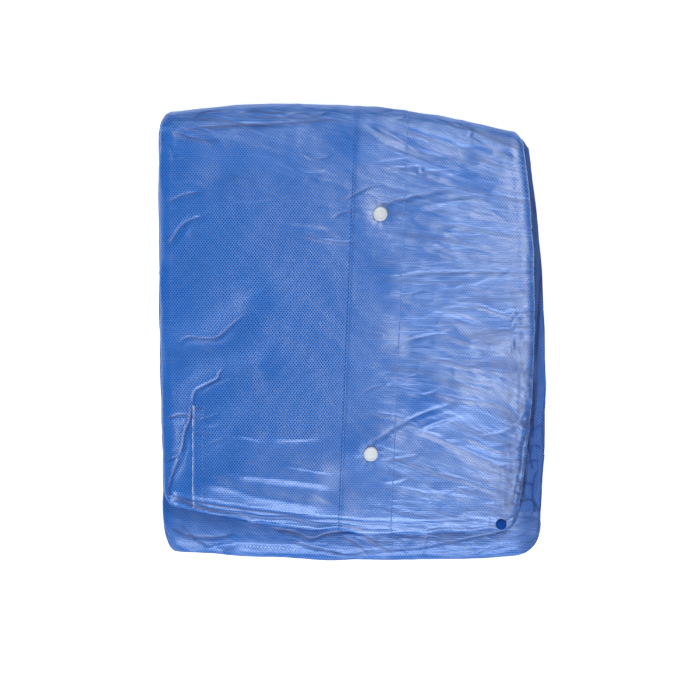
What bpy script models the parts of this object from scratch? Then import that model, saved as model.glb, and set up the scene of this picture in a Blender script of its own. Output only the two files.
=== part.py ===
"""A disposable lab coat, folded flat: the two fronts show on top, turned over every edge of a stack
of hidden layers, with the placket, its snaps, the hip pocket's welt and the turn of the skirt.

Metres, +Z up. The origin is on the surface that the coat lies on, under the middle of the stack.
X runs across the coat from the viewer's left to right, Y from its near end to its far end.
"""

import math

import bmesh
import bpy
import numpy as np
from mathutils import Vector

# The cloth, and the space between two plies
CLOTH = 0.0010
PLACKET_CLOTH = 0.0012
GAP = 0.0003
ON_STACK = GAP
ON_FRONT = ON_STACK + CLOTH + GAP

# The stack: heights of its top at the edge, of the crown in the middle, and of the folds below
STACK_TOP = 0.0260
CROWN = 0.0030
TOP_FOLD_BASE = 0.0170
STACK_MIDDLE_X = 0.0
STACK_MIDDLE_Y = 0.0012

# Fold lines of the top of the stack, seen from above. A line runs from start to end and bows out by
# bow at its middle; turn is how far inside it the cloth starts to turn down; step is how much further
# out the lower folds lie at the line's start, end and middle.
#             start,   end,     bow,     turn,   step at start, end, middle
LEFT_EDGE = (-0.1580, -0.1620, -0.0015, 0.0095, 0.0023, 0.0023, 0.0023)
RIGHT_EDGE = (0.1400, 0.1447, 0.0115, 0.0120, 0.0203, 0.0058, 0.0100)
NEAR_EDGE = (-0.1480, -0.1670, -0.0105, 0.0130, 0.0385, 0.0245, 0.0260)
FAR_EDGE = (0.1857, 0.1697, 0.0130, 0.0160, 0.0, 0.0, 0.0)

# The placket runs a little aslant; the numbers are its stitch line at the near and the far end
STITCH_NEAR_X = -0.0094
STITCH_FAR_X = 0.0043
STITCH_INSET = 0.0020
PLACKET_WIDTH = 0.0450
SEAM_LAP = 0.0030

# The welt of the hip pocket
WELT_OUTER_X = -0.1352
WELT_WIDTH = 0.0104
WELT_TOP_Y = -0.0616
WELT_TURN_RINGS = 2

# Snaps: where they are on the stitch line's side of the placket, and their caps
SNAP_RADIUS = 0.0062
SNAP_HEIGHT = 0.0022
SNAP_HEM_RADIUS = 0.0045
SNAP_HEM_HEIGHT = 0.0020
SNAP_UPPER = (0.0238, 0.1000)
SNAP_LOWER = (0.0158, -0.1027)
SNAP_HEM = (0.1263, -0.1625)
SNAP_SIDES = 28
SNAP_SECTION = (
    # share of the radius, share of the height
    (0.95, 0.0),
    (1.00, 0.30),
    (0.98, 0.62),
    (0.90, 0.90),
    (0.80, 1.00),
    (0.70, 0.94),
    (0.60, 0.80),
)

# Sections of the stack's edges below the turn of the top fold, ring by ring down to the floor. turn and
# step are shares of an edge's turn and step; height is in metres. At the sides the lower folds show
# as three leaves; at the near end the skirt is one round turn over them. The far end is one turn of
# the fronts, from the top of the stack to the floor.
SIDE_FOLDS = (
    # turn, step, height
    (0.20, 0.00, 0.0168),
    (0.20, 0.00, 0.0137),
    (0.72, 0.45, 0.0134),
    (0.95, 0.93, 0.0121),
    (0.97, 0.97, 0.0104),
    (0.80, 0.90, 0.0091),
    (0.99, 0.99, 0.0078),
    (0.98, 1.00, 0.0061),
    (0.80, 0.92, 0.0048),
    (1.00, 1.00, 0.0036),
    (0.98, 0.99, 0.0016),
    (0.88, 0.95, 0.0),
)
NEAR_FOLDS = (
    # turn, step, height
    (0.20, 0.00, 0.0168),
    (0.20, 0.00, 0.0137),
    (0.60, 0.25, 0.0138),
    (0.72, 0.50, 0.0136),
    (0.82, 0.72, 0.0130),
    (0.90, 0.86, 0.0118),
    (0.96, 0.95, 0.0098),
    (1.00, 1.00, 0.0072),
    (0.99, 0.99, 0.0050),
    (0.97, 0.96, 0.0032),
    (0.93, 0.92, 0.0016),
    (0.85, 0.86, 0.0),
)
TOP_TURNS = 5
TOP_TURN_ANGLE = math.radians(36)
RINGS = TOP_TURNS + len(SIDE_FOLDS) - 1
LEAF_RINGS = 3
STEP_SQUARENESS = 0.5
FRONT_RINGS = TOP_TURNS - 1
FRONT_FAR_RINGS = RINGS - 3
PLACKET_RINGS = FRONT_RINGS - 1
PLACKET_FAR_RINGS = RINGS - 4
SKIRT_FIRST_RING = TOP_TURNS + 1

# Unevenness of the lower folds along the edge
FOLD_WAVER = 0.0009
FOLD_WAVES = 5

# Columns between the lines that run up the coat, and rows from the near to the far end
COLUMNS = {
    "left of welt": 2,
    "welt": 1,
    "left front": 6,
    "seam lap": 1,
    "under placket": 1,
    "placket": 2,
    "right front": 6,
}
ROWS_BESIDE_WELT = 9
ROWS_ABOVE_WELT = 22

# The largest folds of the top, each a soft ridge (rise above zero) or trough from one point to
# another, with a bow to one side
LARGE_FOLDS = (
    # from x, from y, to x, to y, bow, half width, rise
    (-0.150, -0.013, -0.086, 0.022, -0.010, 0.010, -0.0020),
    (-0.135, -0.055, -0.080, -0.030, 0.006, 0.010, -0.0018),
    (-0.142, -0.085, -0.156, -0.140, 0.006, 0.009, -0.0024),
    (-0.120, -0.140, -0.010, -0.152, -0.004, 0.010, 0.0016),
    (-0.148, 0.168, 0.020, 0.160, -0.012, 0.010, 0.0018),
    (-0.110, 0.138, 0.090, 0.146, 0.008, 0.012, -0.0016),
    (0.010, 0.160, 0.120, 0.126, 0.008, 0.011, 0.0020),
    (0.030, 0.112, 0.110, 0.122, 0.010, 0.011, -0.0018),
    (0.040, 0.050, 0.150, 0.048, 0.004, 0.012, 0.0016),
    (0.050, -0.004, 0.140, -0.008, 0.012, 0.011, -0.0018),
    (0.075, -0.052, 0.145, -0.078, 0.004, 0.010, 0.0022),
    (0.050, -0.082, 0.130, -0.120, 0.008, 0.011, -0.0020),
    (0.010, -0.098, 0.090, -0.060, -0.006, 0.010, 0.0018),
)

COLLECTION = "folded_lab_coat"
CLOTH_BLUE = (0.052, 0.150, 0.465, 1.0)
SNAP_WHITE = (0.74, 0.77, 0.80, 1.0)
SNAP_BLUE = (0.010, 0.060, 0.300, 1.0)


def bowed_line(start, end, bow, share):
    """A straight line from start to end, with a parabola of height bow over its middle."""
    return start + (end - start) * share + 4.0 * bow * share * (1.0 - share)


def edge_fold(edge, share):
    """Where an edge's top fold reaches at a share of its length."""
    start, end, bow = edge[:3]
    return bowed_line(start, end, bow, share)


def edge_step(edge, share):
    """How much further out the lower folds lie at a share of the edge's length."""
    start, end, middle = edge[4:]
    return bowed_line(start, end, middle - (start + end) / 2.0, share)


def shoulder(edge, share, outward):
    """Where the cloth starts to turn down, inside the fold line."""
    return edge_fold(edge, share) - outward * edge[3]


def stitch_line(share):
    """The placket's stitch line at a share of the way from the near end to the far end."""
    return STITCH_NEAR_X + (STITCH_FAR_X - STITCH_NEAR_X) * share


def upright_lines(share):
    """The lines that run up the coat, from left to right, at a share of the way from near to far."""
    placket_left = stitch_line(share) - STITCH_INSET
    return (
        shoulder(LEFT_EDGE, share, -1.0),
        WELT_OUTER_X + 0.0 * share,
        WELT_OUTER_X + WELT_WIDTH + 0.0 * share,
        placket_left,
        placket_left + SEAM_LAP,
        placket_left + 2.0 * SEAM_LAP,
        placket_left + PLACKET_WIDTH,
        shoulder(RIGHT_EDGE, share, 1.0),
    )


def across_positions():
    """Column positions, counted in upright lines: 0 is the left shoulder and 7 the right one."""
    positions = [0.0]
    for line, count in enumerate(COLUMNS.values()):
        positions += [line + (k + 1.0) / count for k in range(count)]
    return np.array(positions)


def first_column(name):
    """Index of the column line at the left of a named stretch of columns."""
    names = list(COLUMNS)
    return RINGS + sum(COLUMNS[n] for n in names[: names.index(name)])


def along_shares(across):
    """Row positions as shares of the way from the near shoulder to the far one, with a row line at
    the top of the welt."""
    welt_share = (WELT_OUTER_X - shoulder(LEFT_EDGE, 0.3, -1.0)) / (
        shoulder(RIGHT_EDGE, 0.3, 1.0) - shoulder(LEFT_EDGE, 0.3, -1.0)
    )
    near = shoulder(NEAR_EDGE, welt_share, -1.0)
    far = shoulder(FAR_EDGE, welt_share, 1.0)
    top = (WELT_TOP_Y - near) / (far - near)
    below = np.linspace(0.0, top, ROWS_BESIDE_WELT + 1)
    above = np.linspace(top, 1.0, ROWS_ABOVE_WELT + 1)
    return np.concatenate([below, above[1:]])


def fold_rise(x, y):
    """The sum of the large folds at points of the top: each falls off as a bell curve with the
    distance from its bowed line, and fades out at its ends."""
    rise = np.zeros_like(x)
    for x0, y0, x1, y1, bow, half_width, height in LARGE_FOLDS:
        length = math.hypot(x1 - x0, y1 - y0)
        ux, uy = (x1 - x0) / length, (y1 - y0) / length
        along = ((x - x0) * ux + (y - y0) * uy) / length
        inside = np.clip(along, 0.0, 1.0)
        aside = (y - y0) * ux - (x - x0) * uy - 4.0 * bow * inside * (1.0 - inside)
        past = (along - inside) * length
        bell = np.exp(-(aside**2 + past**2) / (2.0 * half_width**2))
        rise += height * bell
    return rise


def top_height(x, y, across_share, along_share):
    """Height of the stack's top: its edge height, a crown that is flat near the middle and falls at
    the edges, and the large folds."""
    crown = (1.0 - (2.0 * across_share - 1.0) ** 4) * (1.0 - (2.0 * along_share - 1.0) ** 4)
    return STACK_TOP + CROWN * crown + fold_rise(x, y)


def edge_section(folds):
    """The section of an edge, a row for each ring from the shoulder to the floor. Columns are the
    share of the turn, the share of the step, and the height, with the share of it that follows the
    top's own folds. The top fold turns over first, then come the given folds below it."""
    rows = []
    for ring in range(TOP_TURNS):
        angle = ring * TOP_TURN_ANGLE
        fall = (1.0 - math.cos(angle)) / 2.0
        rows.append((math.sin(angle), 0.0, STACK_TOP - fall * (STACK_TOP - TOP_FOLD_BASE), 1.0 - fall))
    return np.array(rows + [(turn, step, height, 0.0) for turn, step, height in folds])


def round_section():
    """The section of the far end, in the same columns: one round turn."""
    angle = math.pi * np.arange(RINGS + 1) / RINGS
    fall = (1.0 - np.cos(angle)) / 2.0
    return np.stack([np.sin(angle), 0.0 * fall, STACK_TOP * (1.0 - fall), 1.0 - fall], axis=-1)


def stack_surface():
    """Points of the stack's whole surface but its underside, as a grid of columns and rows. The
    middle of the grid is the top; its outer RINGS columns and rows go down over the edges, and
    round each corner on concentric quarter turns."""
    across = across_positions()
    shares = along_shares(across)
    columns = np.concatenate([np.full(RINGS, across[0]), across, np.full(RINGS, across[-1])])
    rows = np.concatenate([np.zeros(RINGS), shares, np.ones(RINGS)])
    count_x, count_y = len(columns), len(rows)
    ring_x = np.zeros(count_x)
    ring_x[:RINGS] = np.arange(RINGS, 0, -1)
    ring_x[-RINGS:] = np.arange(1, RINGS + 1)
    ring_y = np.zeros(count_y)
    ring_y[:RINGS] = np.arange(RINGS, 0, -1)
    ring_y[-RINGS:] = np.arange(1, RINGS + 1)
    side_x = np.where(np.arange(count_x) < count_x / 2, -1.0, 1.0)
    side_y = np.where(np.arange(count_y) < count_y / 2, -1.0, 1.0)

    a, t = np.meshgrid(columns, rows, indexing="ij")
    rx, ry = np.meshgrid(ring_x, ring_y, indexing="ij")
    sx, sy = np.meshgrid(side_x, side_y, indexing="ij")
    lines = np.array([line + 0.0 * t for line in upright_lines(t)])
    left = np.minimum(a.astype(int), len(lines) - 2)
    low = np.take_along_axis(lines, left[None], 0)[0]
    high = np.take_along_axis(lines, left[None] + 1, 0)[0]
    x = low + (high - low) * (a - left)
    s = (x - lines[0]) / (lines[-1] - lines[0])
    near, far = shoulder(NEAR_EDGE, s, -1.0), shoulder(FAR_EDGE, s, 1.0)
    y = near + (far - near) * t
    top = top_height(x, y, s, t)

    ring = np.maximum(rx, ry).astype(int)
    larger, smaller = np.maximum(np.maximum(rx, ry), 1e-9), np.minimum(rx, ry)
    eighth = math.pi / 4.0 * smaller / larger
    angle = np.where(rx >= ry, eighth, math.pi / 2.0 - eighth)
    turn_x = np.where(sx < 0, LEFT_EDGE[3], RIGHT_EDGE[3])
    turn_y = np.where(sy < 0, NEAR_EDGE[3], FAR_EDGE[3])
    step_x = np.where(sx < 0, edge_step(LEFT_EDGE, t), edge_step(RIGHT_EDGE, t))
    step_y = np.where(sy < 0, edge_step(NEAR_EDGE, s), edge_step(FAR_EDGE, s))

    at_end = (np.sin(angle) ** 2)[..., None]
    end = np.where((sy > 0)[..., None], round_section()[ring], edge_section(NEAR_FOLDS)[ring])
    section = edge_section(SIDE_FOLDS)[ring] * (1.0 - at_end) + end * at_end
    leaf = np.maximum(ring - TOP_TURNS - 2, 0) // LEAF_RINGS
    waver = FOLD_WAVER * np.sin(FOLD_WAVES * t * 2.0 * math.pi + 2.0 * leaf) * (ring > TOP_TURNS + 1)
    cosine, sine = np.cos(angle), np.sin(angle)
    out_x = (section[..., 0] * turn_x + waver) * cosine + section[..., 1] * step_x * cosine**STEP_SQUARENESS
    out_y = section[..., 0] * turn_y * sine + section[..., 1] * step_y * sine**STEP_SQUARENESS
    points = np.empty((count_x, count_y, 3))
    points[..., 0] = x + sx * out_x * (ring > 0)
    points[..., 1] = y + sy * out_y * (ring > 0)
    points[..., 2] = section[..., 2] + section[..., 3] * (top - STACK_TOP)
    points[..., 0] += STACK_MIDDLE_X
    points[..., 1] += STACK_MIDDLE_Y
    return points, ring


def finish_material(name, colour, roughness):
    """A plain surface of one colour."""
    material = bpy.data.materials.new(name)
    material.use_nodes = True
    surface = material.node_tree.nodes["Principled BSDF"]
    surface.inputs["Base Color"].default_value = colour
    surface.inputs["Roughness"].default_value = roughness
    surface.inputs["Metallic"].default_value = 0.0
    return material


def add_object(name, mesh, material, collection):
    """One named sub-part, shaded smooth but for its sharp edges."""
    mesh.materials.append(material)
    mesh.shade_smooth()
    mesh.set_sharp_from_angle(angle=math.radians(50))
    obj = bpy.data.objects.new(name, mesh)
    collection.objects.link(obj)
    return obj


def cell_triangles(i, j, count_x, count_y):
    """The two triangles of a cell, cut from the stack's middle outward, the same way in every piece so
    that one lies even on the next."""
    if (2 * i < count_x) == (2 * j < count_y):
        return ((i, j), (i + 1, j), (i + 1, j + 1)), ((i, j), (i + 1, j + 1), (i, j + 1))
    return ((i, j), (i + 1, j), (i, j + 1)), ((i + 1, j), (i + 1, j + 1), (i, j + 1))


def mesh_from(name, bm):
    """The finished mesh of a bmesh."""
    mesh = bpy.data.meshes.new(name)
    bm.to_mesh(mesh)
    bm.free()
    return mesh


def add_stack(points, material, collection):
    """The hidden back, sleeves, collar and lower fronts, folded into one stack with a flat base.
    Also returns the outward normal at each point of the grid."""
    count_x, count_y = points.shape[:2]
    bm = bmesh.new()
    made = [[bm.verts.new(points[i, j]) for j in range(count_y)] for i in range(count_x)]
    for i in range(count_x - 1):
        for j in range(count_y - 1):
            for triangle in cell_triangles(i, j, count_x, count_y):
                bm.faces.new([made[a][b] for a, b in triangle])
    bm.normal_update()
    normals = np.array([[vertex.normal[:] for vertex in column] for column in made])
    rim = [(i, 0) for i in range(count_x - 1)]
    rim += [(count_x - 1, j) for j in range(count_y - 1)]
    rim += [(i, count_y - 1) for i in range(count_x - 1, 0, -1)]
    rim += [(0, j) for j in range(count_y - 1, 0, -1)]
    bm.faces.new([made[i][j] for i, j in reversed(rim)])
    stack = add_object("folded_layers", mesh_from("folded_layers", bm), material, collection)
    return stack, normals


def add_cloth(name, points, normals, keep, lift, thickness, material, collection):
    """A panel of cloth over the kept cells of the stack: an inner and an outer face, lifted off the
    stack along its normals, and a wall along the panel's edge."""
    count_x, count_y = points.shape[:2]
    bm = bmesh.new()
    sides = {}

    def vertex(i, j, outer):
        if (i, j, outer) not in sides:
            height = lift + thickness * outer
            sides[i, j, outer] = bm.verts.new(points[i, j] + normals[i, j] * height)
        return sides[i, j, outer]

    for i, j in zip(*np.nonzero(keep)):
        for triangle in cell_triangles(i, j, count_x, count_y):
            bm.faces.new([vertex(a, b, 1) for a, b in triangle])
            bm.faces.new([vertex(a, b, 0) for a, b in reversed(triangle)])
        edges = (
            (i, j - 1, (i, j), (i + 1, j)),
            (i + 1, j, (i + 1, j), (i + 1, j + 1)),
            (i, j + 1, (i + 1, j + 1), (i, j + 1)),
            (i - 1, j, (i, j + 1), (i, j)),
        )
        for beside_i, beside_j, start, end in edges:
            on_grid = 0 <= beside_i < count_x - 1 and 0 <= beside_j < count_y - 1
            if not (on_grid and keep[beside_i, beside_j]):
                bm.faces.new((vertex(*start, 0), vertex(*end, 0), vertex(*end, 1), vertex(*start, 1)))
    return add_object(name, mesh_from(name, bm), material, collection)


def cells(ring, first, last, low_row, high_row, near_rings, far_rings, side_rings):
    """Which cells a panel covers: columns first to last and rows low to high, on past the shoulders
    by so many rings of the near, far and left or right edges, where it reaches them."""
    count_x, count_y = ring.shape
    i, j = np.meshgrid(np.arange(count_x - 1), np.arange(count_y - 1), indexing="ij")
    outer = np.maximum(np.maximum(ring[:-1, :-1], ring[1:, 1:]), np.maximum(ring[1:, :-1], ring[:-1, 1:]))
    at_near, at_far = j < RINGS, j >= count_y - 1 - RINGS
    at_side = (i < RINGS) | (i >= count_x - 1 - RINGS)
    limit = np.where(at_near, near_rings, np.where(at_far, far_rings, RINGS))
    limit = np.where(at_side, np.minimum(limit, side_rings), limit)
    inside = (i >= first) & (i < last) & (j >= low_row) & (j < high_row)
    return inside & (outer <= limit)


def add_snap(name, place, points, normals, lift, radius, height, material, collection):
    """A snap's cap: a disc with a rounded rim and a shallow dish, flat on the panel at its place."""
    far_off = np.linalg.norm(points[..., :2] - np.array(place), axis=-1) - points[..., 2]
    i, j = np.unravel_index(np.argmin(far_off), far_off.shape)
    beside = slice(i - 1, i + 2), slice(j - 1, j + 2)
    normal = Vector(normals[beside].reshape(-1, 3).mean(0)).normalized()
    nearest = Vector(points[i, j])
    centre = nearest + Vector((place[0] - nearest.x, place[1] - nearest.y, 0.0))
    centre.z -= (normal.x * (centre.x - nearest.x) + normal.y * (centre.y - nearest.y)) / normal.z
    bm = bmesh.new()
    turns = [2.0 * math.pi * k / SNAP_SIDES for k in range(SNAP_SIDES)]
    rings = []
    for radius_share, height_share in SNAP_SECTION:
        reach = radius * radius_share
        ring = [(reach * math.cos(turn), reach * math.sin(turn), height * height_share) for turn in turns]
        rings.append([bm.verts.new(point) for point in ring])
    for lower, upper in zip(rings, rings[1:]):
        for k in range(SNAP_SIDES):
            after = (k + 1) % SNAP_SIDES
            bm.faces.new((lower[k], lower[after], upper[after], upper[k]))
    bm.faces.new(list(reversed(rings[0])))
    bm.faces.new(rings[-1])
    snap = add_object(name, mesh_from(name, bm), material, collection)
    snap.rotation_mode = "QUATERNION"
    snap.rotation_quaternion = normal.to_track_quat("Z", "Y")
    snap.location = centre + normal * lift
    return snap


def main():
    for obj in list(bpy.data.objects):
        bpy.data.objects.remove(obj, do_unlink=True)
    collection = bpy.data.collections.new(COLLECTION)
    bpy.context.scene.collection.children.link(collection)
    cloth = finish_material("blue_cloth", CLOTH_BLUE, 0.75)
    white = finish_material("white_snap", SNAP_WHITE, 0.35)
    blue = finish_material("blue_snap", SNAP_BLUE, 0.35)

    points, ring = stack_surface()
    stack, normals = add_stack(points, cloth, collection)
    count_x, count_y = ring.shape
    first_row, row_end = 0, count_y - 1
    under_placket = first_column("under placket")
    placket_left = first_column("seam lap")
    placket_right = first_column("right front")
    welt = first_column("welt")

    left = cells(ring, 0, under_placket, first_row, row_end, FRONT_RINGS, FRONT_FAR_RINGS, FRONT_RINGS)
    add_cloth("front_left", points, normals, left, ON_STACK, CLOTH, cloth, collection)
    right_start = first_column("placket")
    right = cells(ring, right_start, count_x, first_row, row_end, FRONT_RINGS, FRONT_FAR_RINGS, FRONT_RINGS)
    add_cloth("front_right", points, normals, right, ON_STACK, CLOTH, cloth, collection)
    band = cells(ring, placket_left, placket_right, first_row, row_end, PLACKET_RINGS, PLACKET_FAR_RINGS, 0)
    add_cloth("placket", points, normals, band, ON_FRONT, PLACKET_CLOTH, cloth, collection)
    welt_end = RINGS + ROWS_BESIDE_WELT
    strip = cells(ring, welt, welt + 1, first_row, welt_end, WELT_TURN_RINGS, 0, 0)
    add_cloth("pocket_welt", points, normals, strip, ON_FRONT, CLOTH, cloth, collection)
    skirt = cells(ring, 0, count_x, first_row, RINGS, RINGS - 1, 0, RINGS - 1)
    inner = np.minimum(np.minimum(ring[:-1, :-1], ring[1:, 1:]), np.minimum(ring[1:, :-1], ring[:-1, 1:]))
    skirt &= inner >= SKIRT_FIRST_RING
    add_cloth("skirt_fold", points, normals, skirt, ON_STACK, CLOTH, cloth, collection)

    on_placket = ON_FRONT + PLACKET_CLOTH + GAP
    caps = (("snap_upper", SNAP_UPPER), ("snap_lower", SNAP_LOWER))
    for name, place in caps:
        add_snap(name, place, points, normals, on_placket, SNAP_RADIUS, SNAP_HEIGHT, white, collection)
    add_snap(
        "snap_hem", SNAP_HEM, points, normals, ON_FRONT, SNAP_HEM_RADIUS, SNAP_HEM_HEIGHT, blue, collection
    )


if __name__ == "__main__":
    main()
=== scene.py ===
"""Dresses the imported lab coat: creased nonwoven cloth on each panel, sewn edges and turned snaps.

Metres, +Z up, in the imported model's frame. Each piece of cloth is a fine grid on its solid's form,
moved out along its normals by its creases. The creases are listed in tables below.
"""

import math

import bmesh
import bpy
import numpy as np
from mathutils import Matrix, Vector


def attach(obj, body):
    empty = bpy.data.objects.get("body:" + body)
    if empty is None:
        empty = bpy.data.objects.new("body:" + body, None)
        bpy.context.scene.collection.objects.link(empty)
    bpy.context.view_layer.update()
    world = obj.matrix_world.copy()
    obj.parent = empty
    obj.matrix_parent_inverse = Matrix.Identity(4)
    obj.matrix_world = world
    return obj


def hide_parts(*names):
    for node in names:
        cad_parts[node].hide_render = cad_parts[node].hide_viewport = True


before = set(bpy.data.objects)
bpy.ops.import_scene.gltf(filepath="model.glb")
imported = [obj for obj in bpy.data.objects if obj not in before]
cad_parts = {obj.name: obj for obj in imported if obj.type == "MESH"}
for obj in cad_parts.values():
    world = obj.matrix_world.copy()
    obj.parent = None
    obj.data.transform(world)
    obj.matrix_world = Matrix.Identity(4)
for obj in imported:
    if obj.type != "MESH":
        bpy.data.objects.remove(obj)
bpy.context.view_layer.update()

# Millimetres in a metre, for the tables of creases
MM = 1000.0

# The stack's form, with the same values as the solids
CLOTH = 0.0010
GAP = 0.0003
STACK_TOP = 0.0260
CROWN = 0.0030
TOP_FOLD_BASE = 0.0170
TOP_FOLD = STACK_TOP - TOP_FOLD_BASE
STACK_MIDDLE_Y = 0.0012

# About the top's size between its shoulders, for the spacing of rows, and a side's width of turn
TOP_LENGTH = 0.335
TOP_WIDTH = 0.290
SIDE_TURN = 0.011

# The edges of the top fold: start, end, bow, turn, and the lower folds' step at start, end, middle
LEFT_EDGE = (-0.1580, -0.1620, -0.0015, 0.0095, 0.0023, 0.0023, 0.0023)
RIGHT_EDGE = (0.1400, 0.1447, 0.0115, 0.0120, 0.0203, 0.0058, 0.0100)
NEAR_EDGE = (-0.1480, -0.1670, -0.0105, 0.0130, 0.0385, 0.0245, 0.0260)
FAR_EDGE = (0.1857, 0.1697, 0.0130, 0.0160, 0.0, 0.0, 0.0)

# The lower folds in section, from the ledge under the top fold down to the floor: shares of the
# edge's turn and of its step, and the height
SIDE_FOLDS = (
    # turn, step, height
    (0.20, 0.00, 0.0168),
    (0.20, 0.00, 0.0137),
    (0.72, 0.45, 0.0134),
    (0.95, 0.93, 0.0121),
    (0.97, 0.97, 0.0104),
    (0.80, 0.90, 0.0091),
    (0.99, 0.99, 0.0078),
    (0.98, 1.00, 0.0061),
    (0.80, 0.92, 0.0048),
    (1.00, 1.00, 0.0036),
    (0.98, 0.99, 0.0016),
    (0.88, 0.95, 0.0),
)
NEAR_FOLDS = (
    # turn, step, height
    (0.20, 0.00, 0.0168),
    (0.20, 0.00, 0.0137),
    (0.60, 0.25, 0.0138),
    (0.72, 0.50, 0.0136),
    (0.82, 0.72, 0.0130),
    (0.90, 0.86, 0.0118),
    (0.96, 0.95, 0.0098),
    (1.00, 1.00, 0.0072),
    (0.99, 0.99, 0.0050),
    (0.97, 0.96, 0.0032),
    (0.93, 0.92, 0.0016),
    (0.85, 0.86, 0.0),
)

# The far end is one round turn down to the floor. The lower folds have what lies past FAR_START of
# its half circle, and FAR_EVEN of their pace round it is even, while the rest follows the side's rows
FAR_START = 5.0 / 16.0
FAR_EVEN = 0.35

# How square the lower folds' corners are: the power of the cosine and the sine round them
STEP_SQUARENESS = 0.5

# The large folds that the solids have too
LARGE_FOLDS = (
    # from x, from y, to x, to y, bow, half width, rise
    (-0.150, -0.013, -0.086, 0.022, -0.010, 0.010, -0.0020),
    (-0.135, -0.055, -0.080, -0.030, 0.006, 0.010, -0.0018),
    (-0.142, -0.085, -0.156, -0.140, 0.006, 0.009, -0.0024),
    (-0.120, -0.140, -0.010, -0.152, -0.004, 0.010, 0.0016),
    (-0.148, 0.168, 0.020, 0.160, -0.012, 0.010, 0.0018),
    (-0.110, 0.138, 0.090, 0.146, 0.008, 0.012, -0.0016),
    (0.010, 0.160, 0.120, 0.126, 0.008, 0.011, 0.0020),
    (0.030, 0.112, 0.110, 0.122, 0.010, 0.011, -0.0018),
    (0.040, 0.050, 0.150, 0.048, 0.004, 0.012, 0.0016),
    (0.050, -0.004, 0.140, -0.008, 0.012, 0.011, -0.0018),
    (0.075, -0.052, 0.145, -0.078, 0.004, 0.010, 0.0022),
    (0.050, -0.082, 0.130, -0.120, 0.008, 0.011, -0.0020),
    (0.010, -0.098, 0.090, -0.060, -0.006, 0.010, 0.0018),
)

# The placket, the welt and the snaps
STITCH_NEAR_X = -0.0094
STITCH_FAR_X = 0.0043
STITCH_INSET = 0.0020
PLACKET_WIDTH = 0.0450
PLACKET_FREE_EDGE = 0.0004
SEAM_LAP = 0.0030
WELT_OUTER_X = -0.1352
WELT_WIDTH = 0.0104
WELT_TOP_Y = -0.0616
SNAP_RADIUS = 0.0062
SNAP_HEIGHT = 0.0022
SNAP_UPPER = (0.0238, 0.1000)
SNAP_LOWER = (0.0158, -0.1027)
SNAP_HEM = (0.1263, -0.1625)
SNAP_HEM_RADIUS = 0.0045
SNAP_HEM_HEIGHT = 0.0020
SNAP_LIFT = 0.0001
SNAP_HEM_LIFT = 0.0004

# Where the welt lies across the top, and the share of the near end's reach that it goes down
WELT_SHARE = 0.03
WELT_REACH = 0.45

# How far the placket stands off the fronts, how much less at its stitches, and over what width. Then
# the welt: how far at its inner edge, how much more at its outer one, and the roll there
PLACKET_STAND = 0.00045
STITCH_PINCH = 0.00016
STITCH_PINCH_WIDTH = 0.0006
WELT_STAND = 0.0002
WELT_OPEN = 0.0006
WELT_ROLL = 0.0004
WELT_ROLL_INSET = 0.0009
WELT_ROLL_WIDTH = 0.0007
RIM_LIFT = 0.0001

# The dimple that a snap presses into the placket, and the spokes of gathered cloth round it, which are
# turned by the snap's y, so that two snaps don't look alike
DIMPLE = 0.0006
DIMPLE_RADIUS = 0.0085
SPOKES = 9.0
SPOKE_TURN = 90.0
SPOKE_RISE = 0.00006
SPOKE_RADIUS = 0.0095
SPOKE_WIDTH = 0.0035

# Section of the near end's lip: a bend, a gentle slope, a pinched edge and the turn under it
LIP = (
    # share of the turn, share of the drop
    (0.00, 0.000),
    (0.10, 0.012),
    (0.20, 0.06),
    (0.40, 0.17),
    (0.60, 0.28),
    (0.80, 0.385),
    (0.92, 0.44),
    (0.985, 0.50),
    (1.00, 0.58),
    (0.99, 0.70),
    (0.975, 0.85),
    (0.96, 0.97),
    (0.90, 1.02),
    (0.70, 1.03),
    (0.35, 1.03),
)

# The fine grids: the spacing of their points, how far the fronts go round each edge, and the rows of
# the rims, with the one that their length round is measured on. Those rows are even steps of a length
# that counts a whole turn, a whole step and each metre of height as much as the three paces say
SPACING = 0.0009
WELT_SPACING = 0.0008
WELT_SPACING_ACROSS = 0.0005
LAYERS_SPACING = 0.00145
SKIRT_SPACING = 0.0010
SIDE_REACH = 0.0200
NEAR_REACH = 0.0262
FAR_REACH = 0.0390
LAYERS_ROWS = 86
LAYERS_GIRTH_ROW = 60
SKIRT_ROWS = 84
SKIRT_GIRTH_ROW = 30
CORNER_STEPS = 22
TURN_PACE = 0.012
STEP_PACE = 0.020
HEIGHT_PACE = 2.2

# The share of a half turn that the fronts' cloth covers at their sides and at the far end
TURN_SHARE = 0.83

# How far each piece's rows of dots are moved on its cloth, so that they don't run on from its
# neighbour's
PLACKET_WEAVE = (-0.0007, 0.0005)
WELT_WEAVE = (0.0004, 0.0011)
SKIRT_WEAVE = 0.0011
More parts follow.
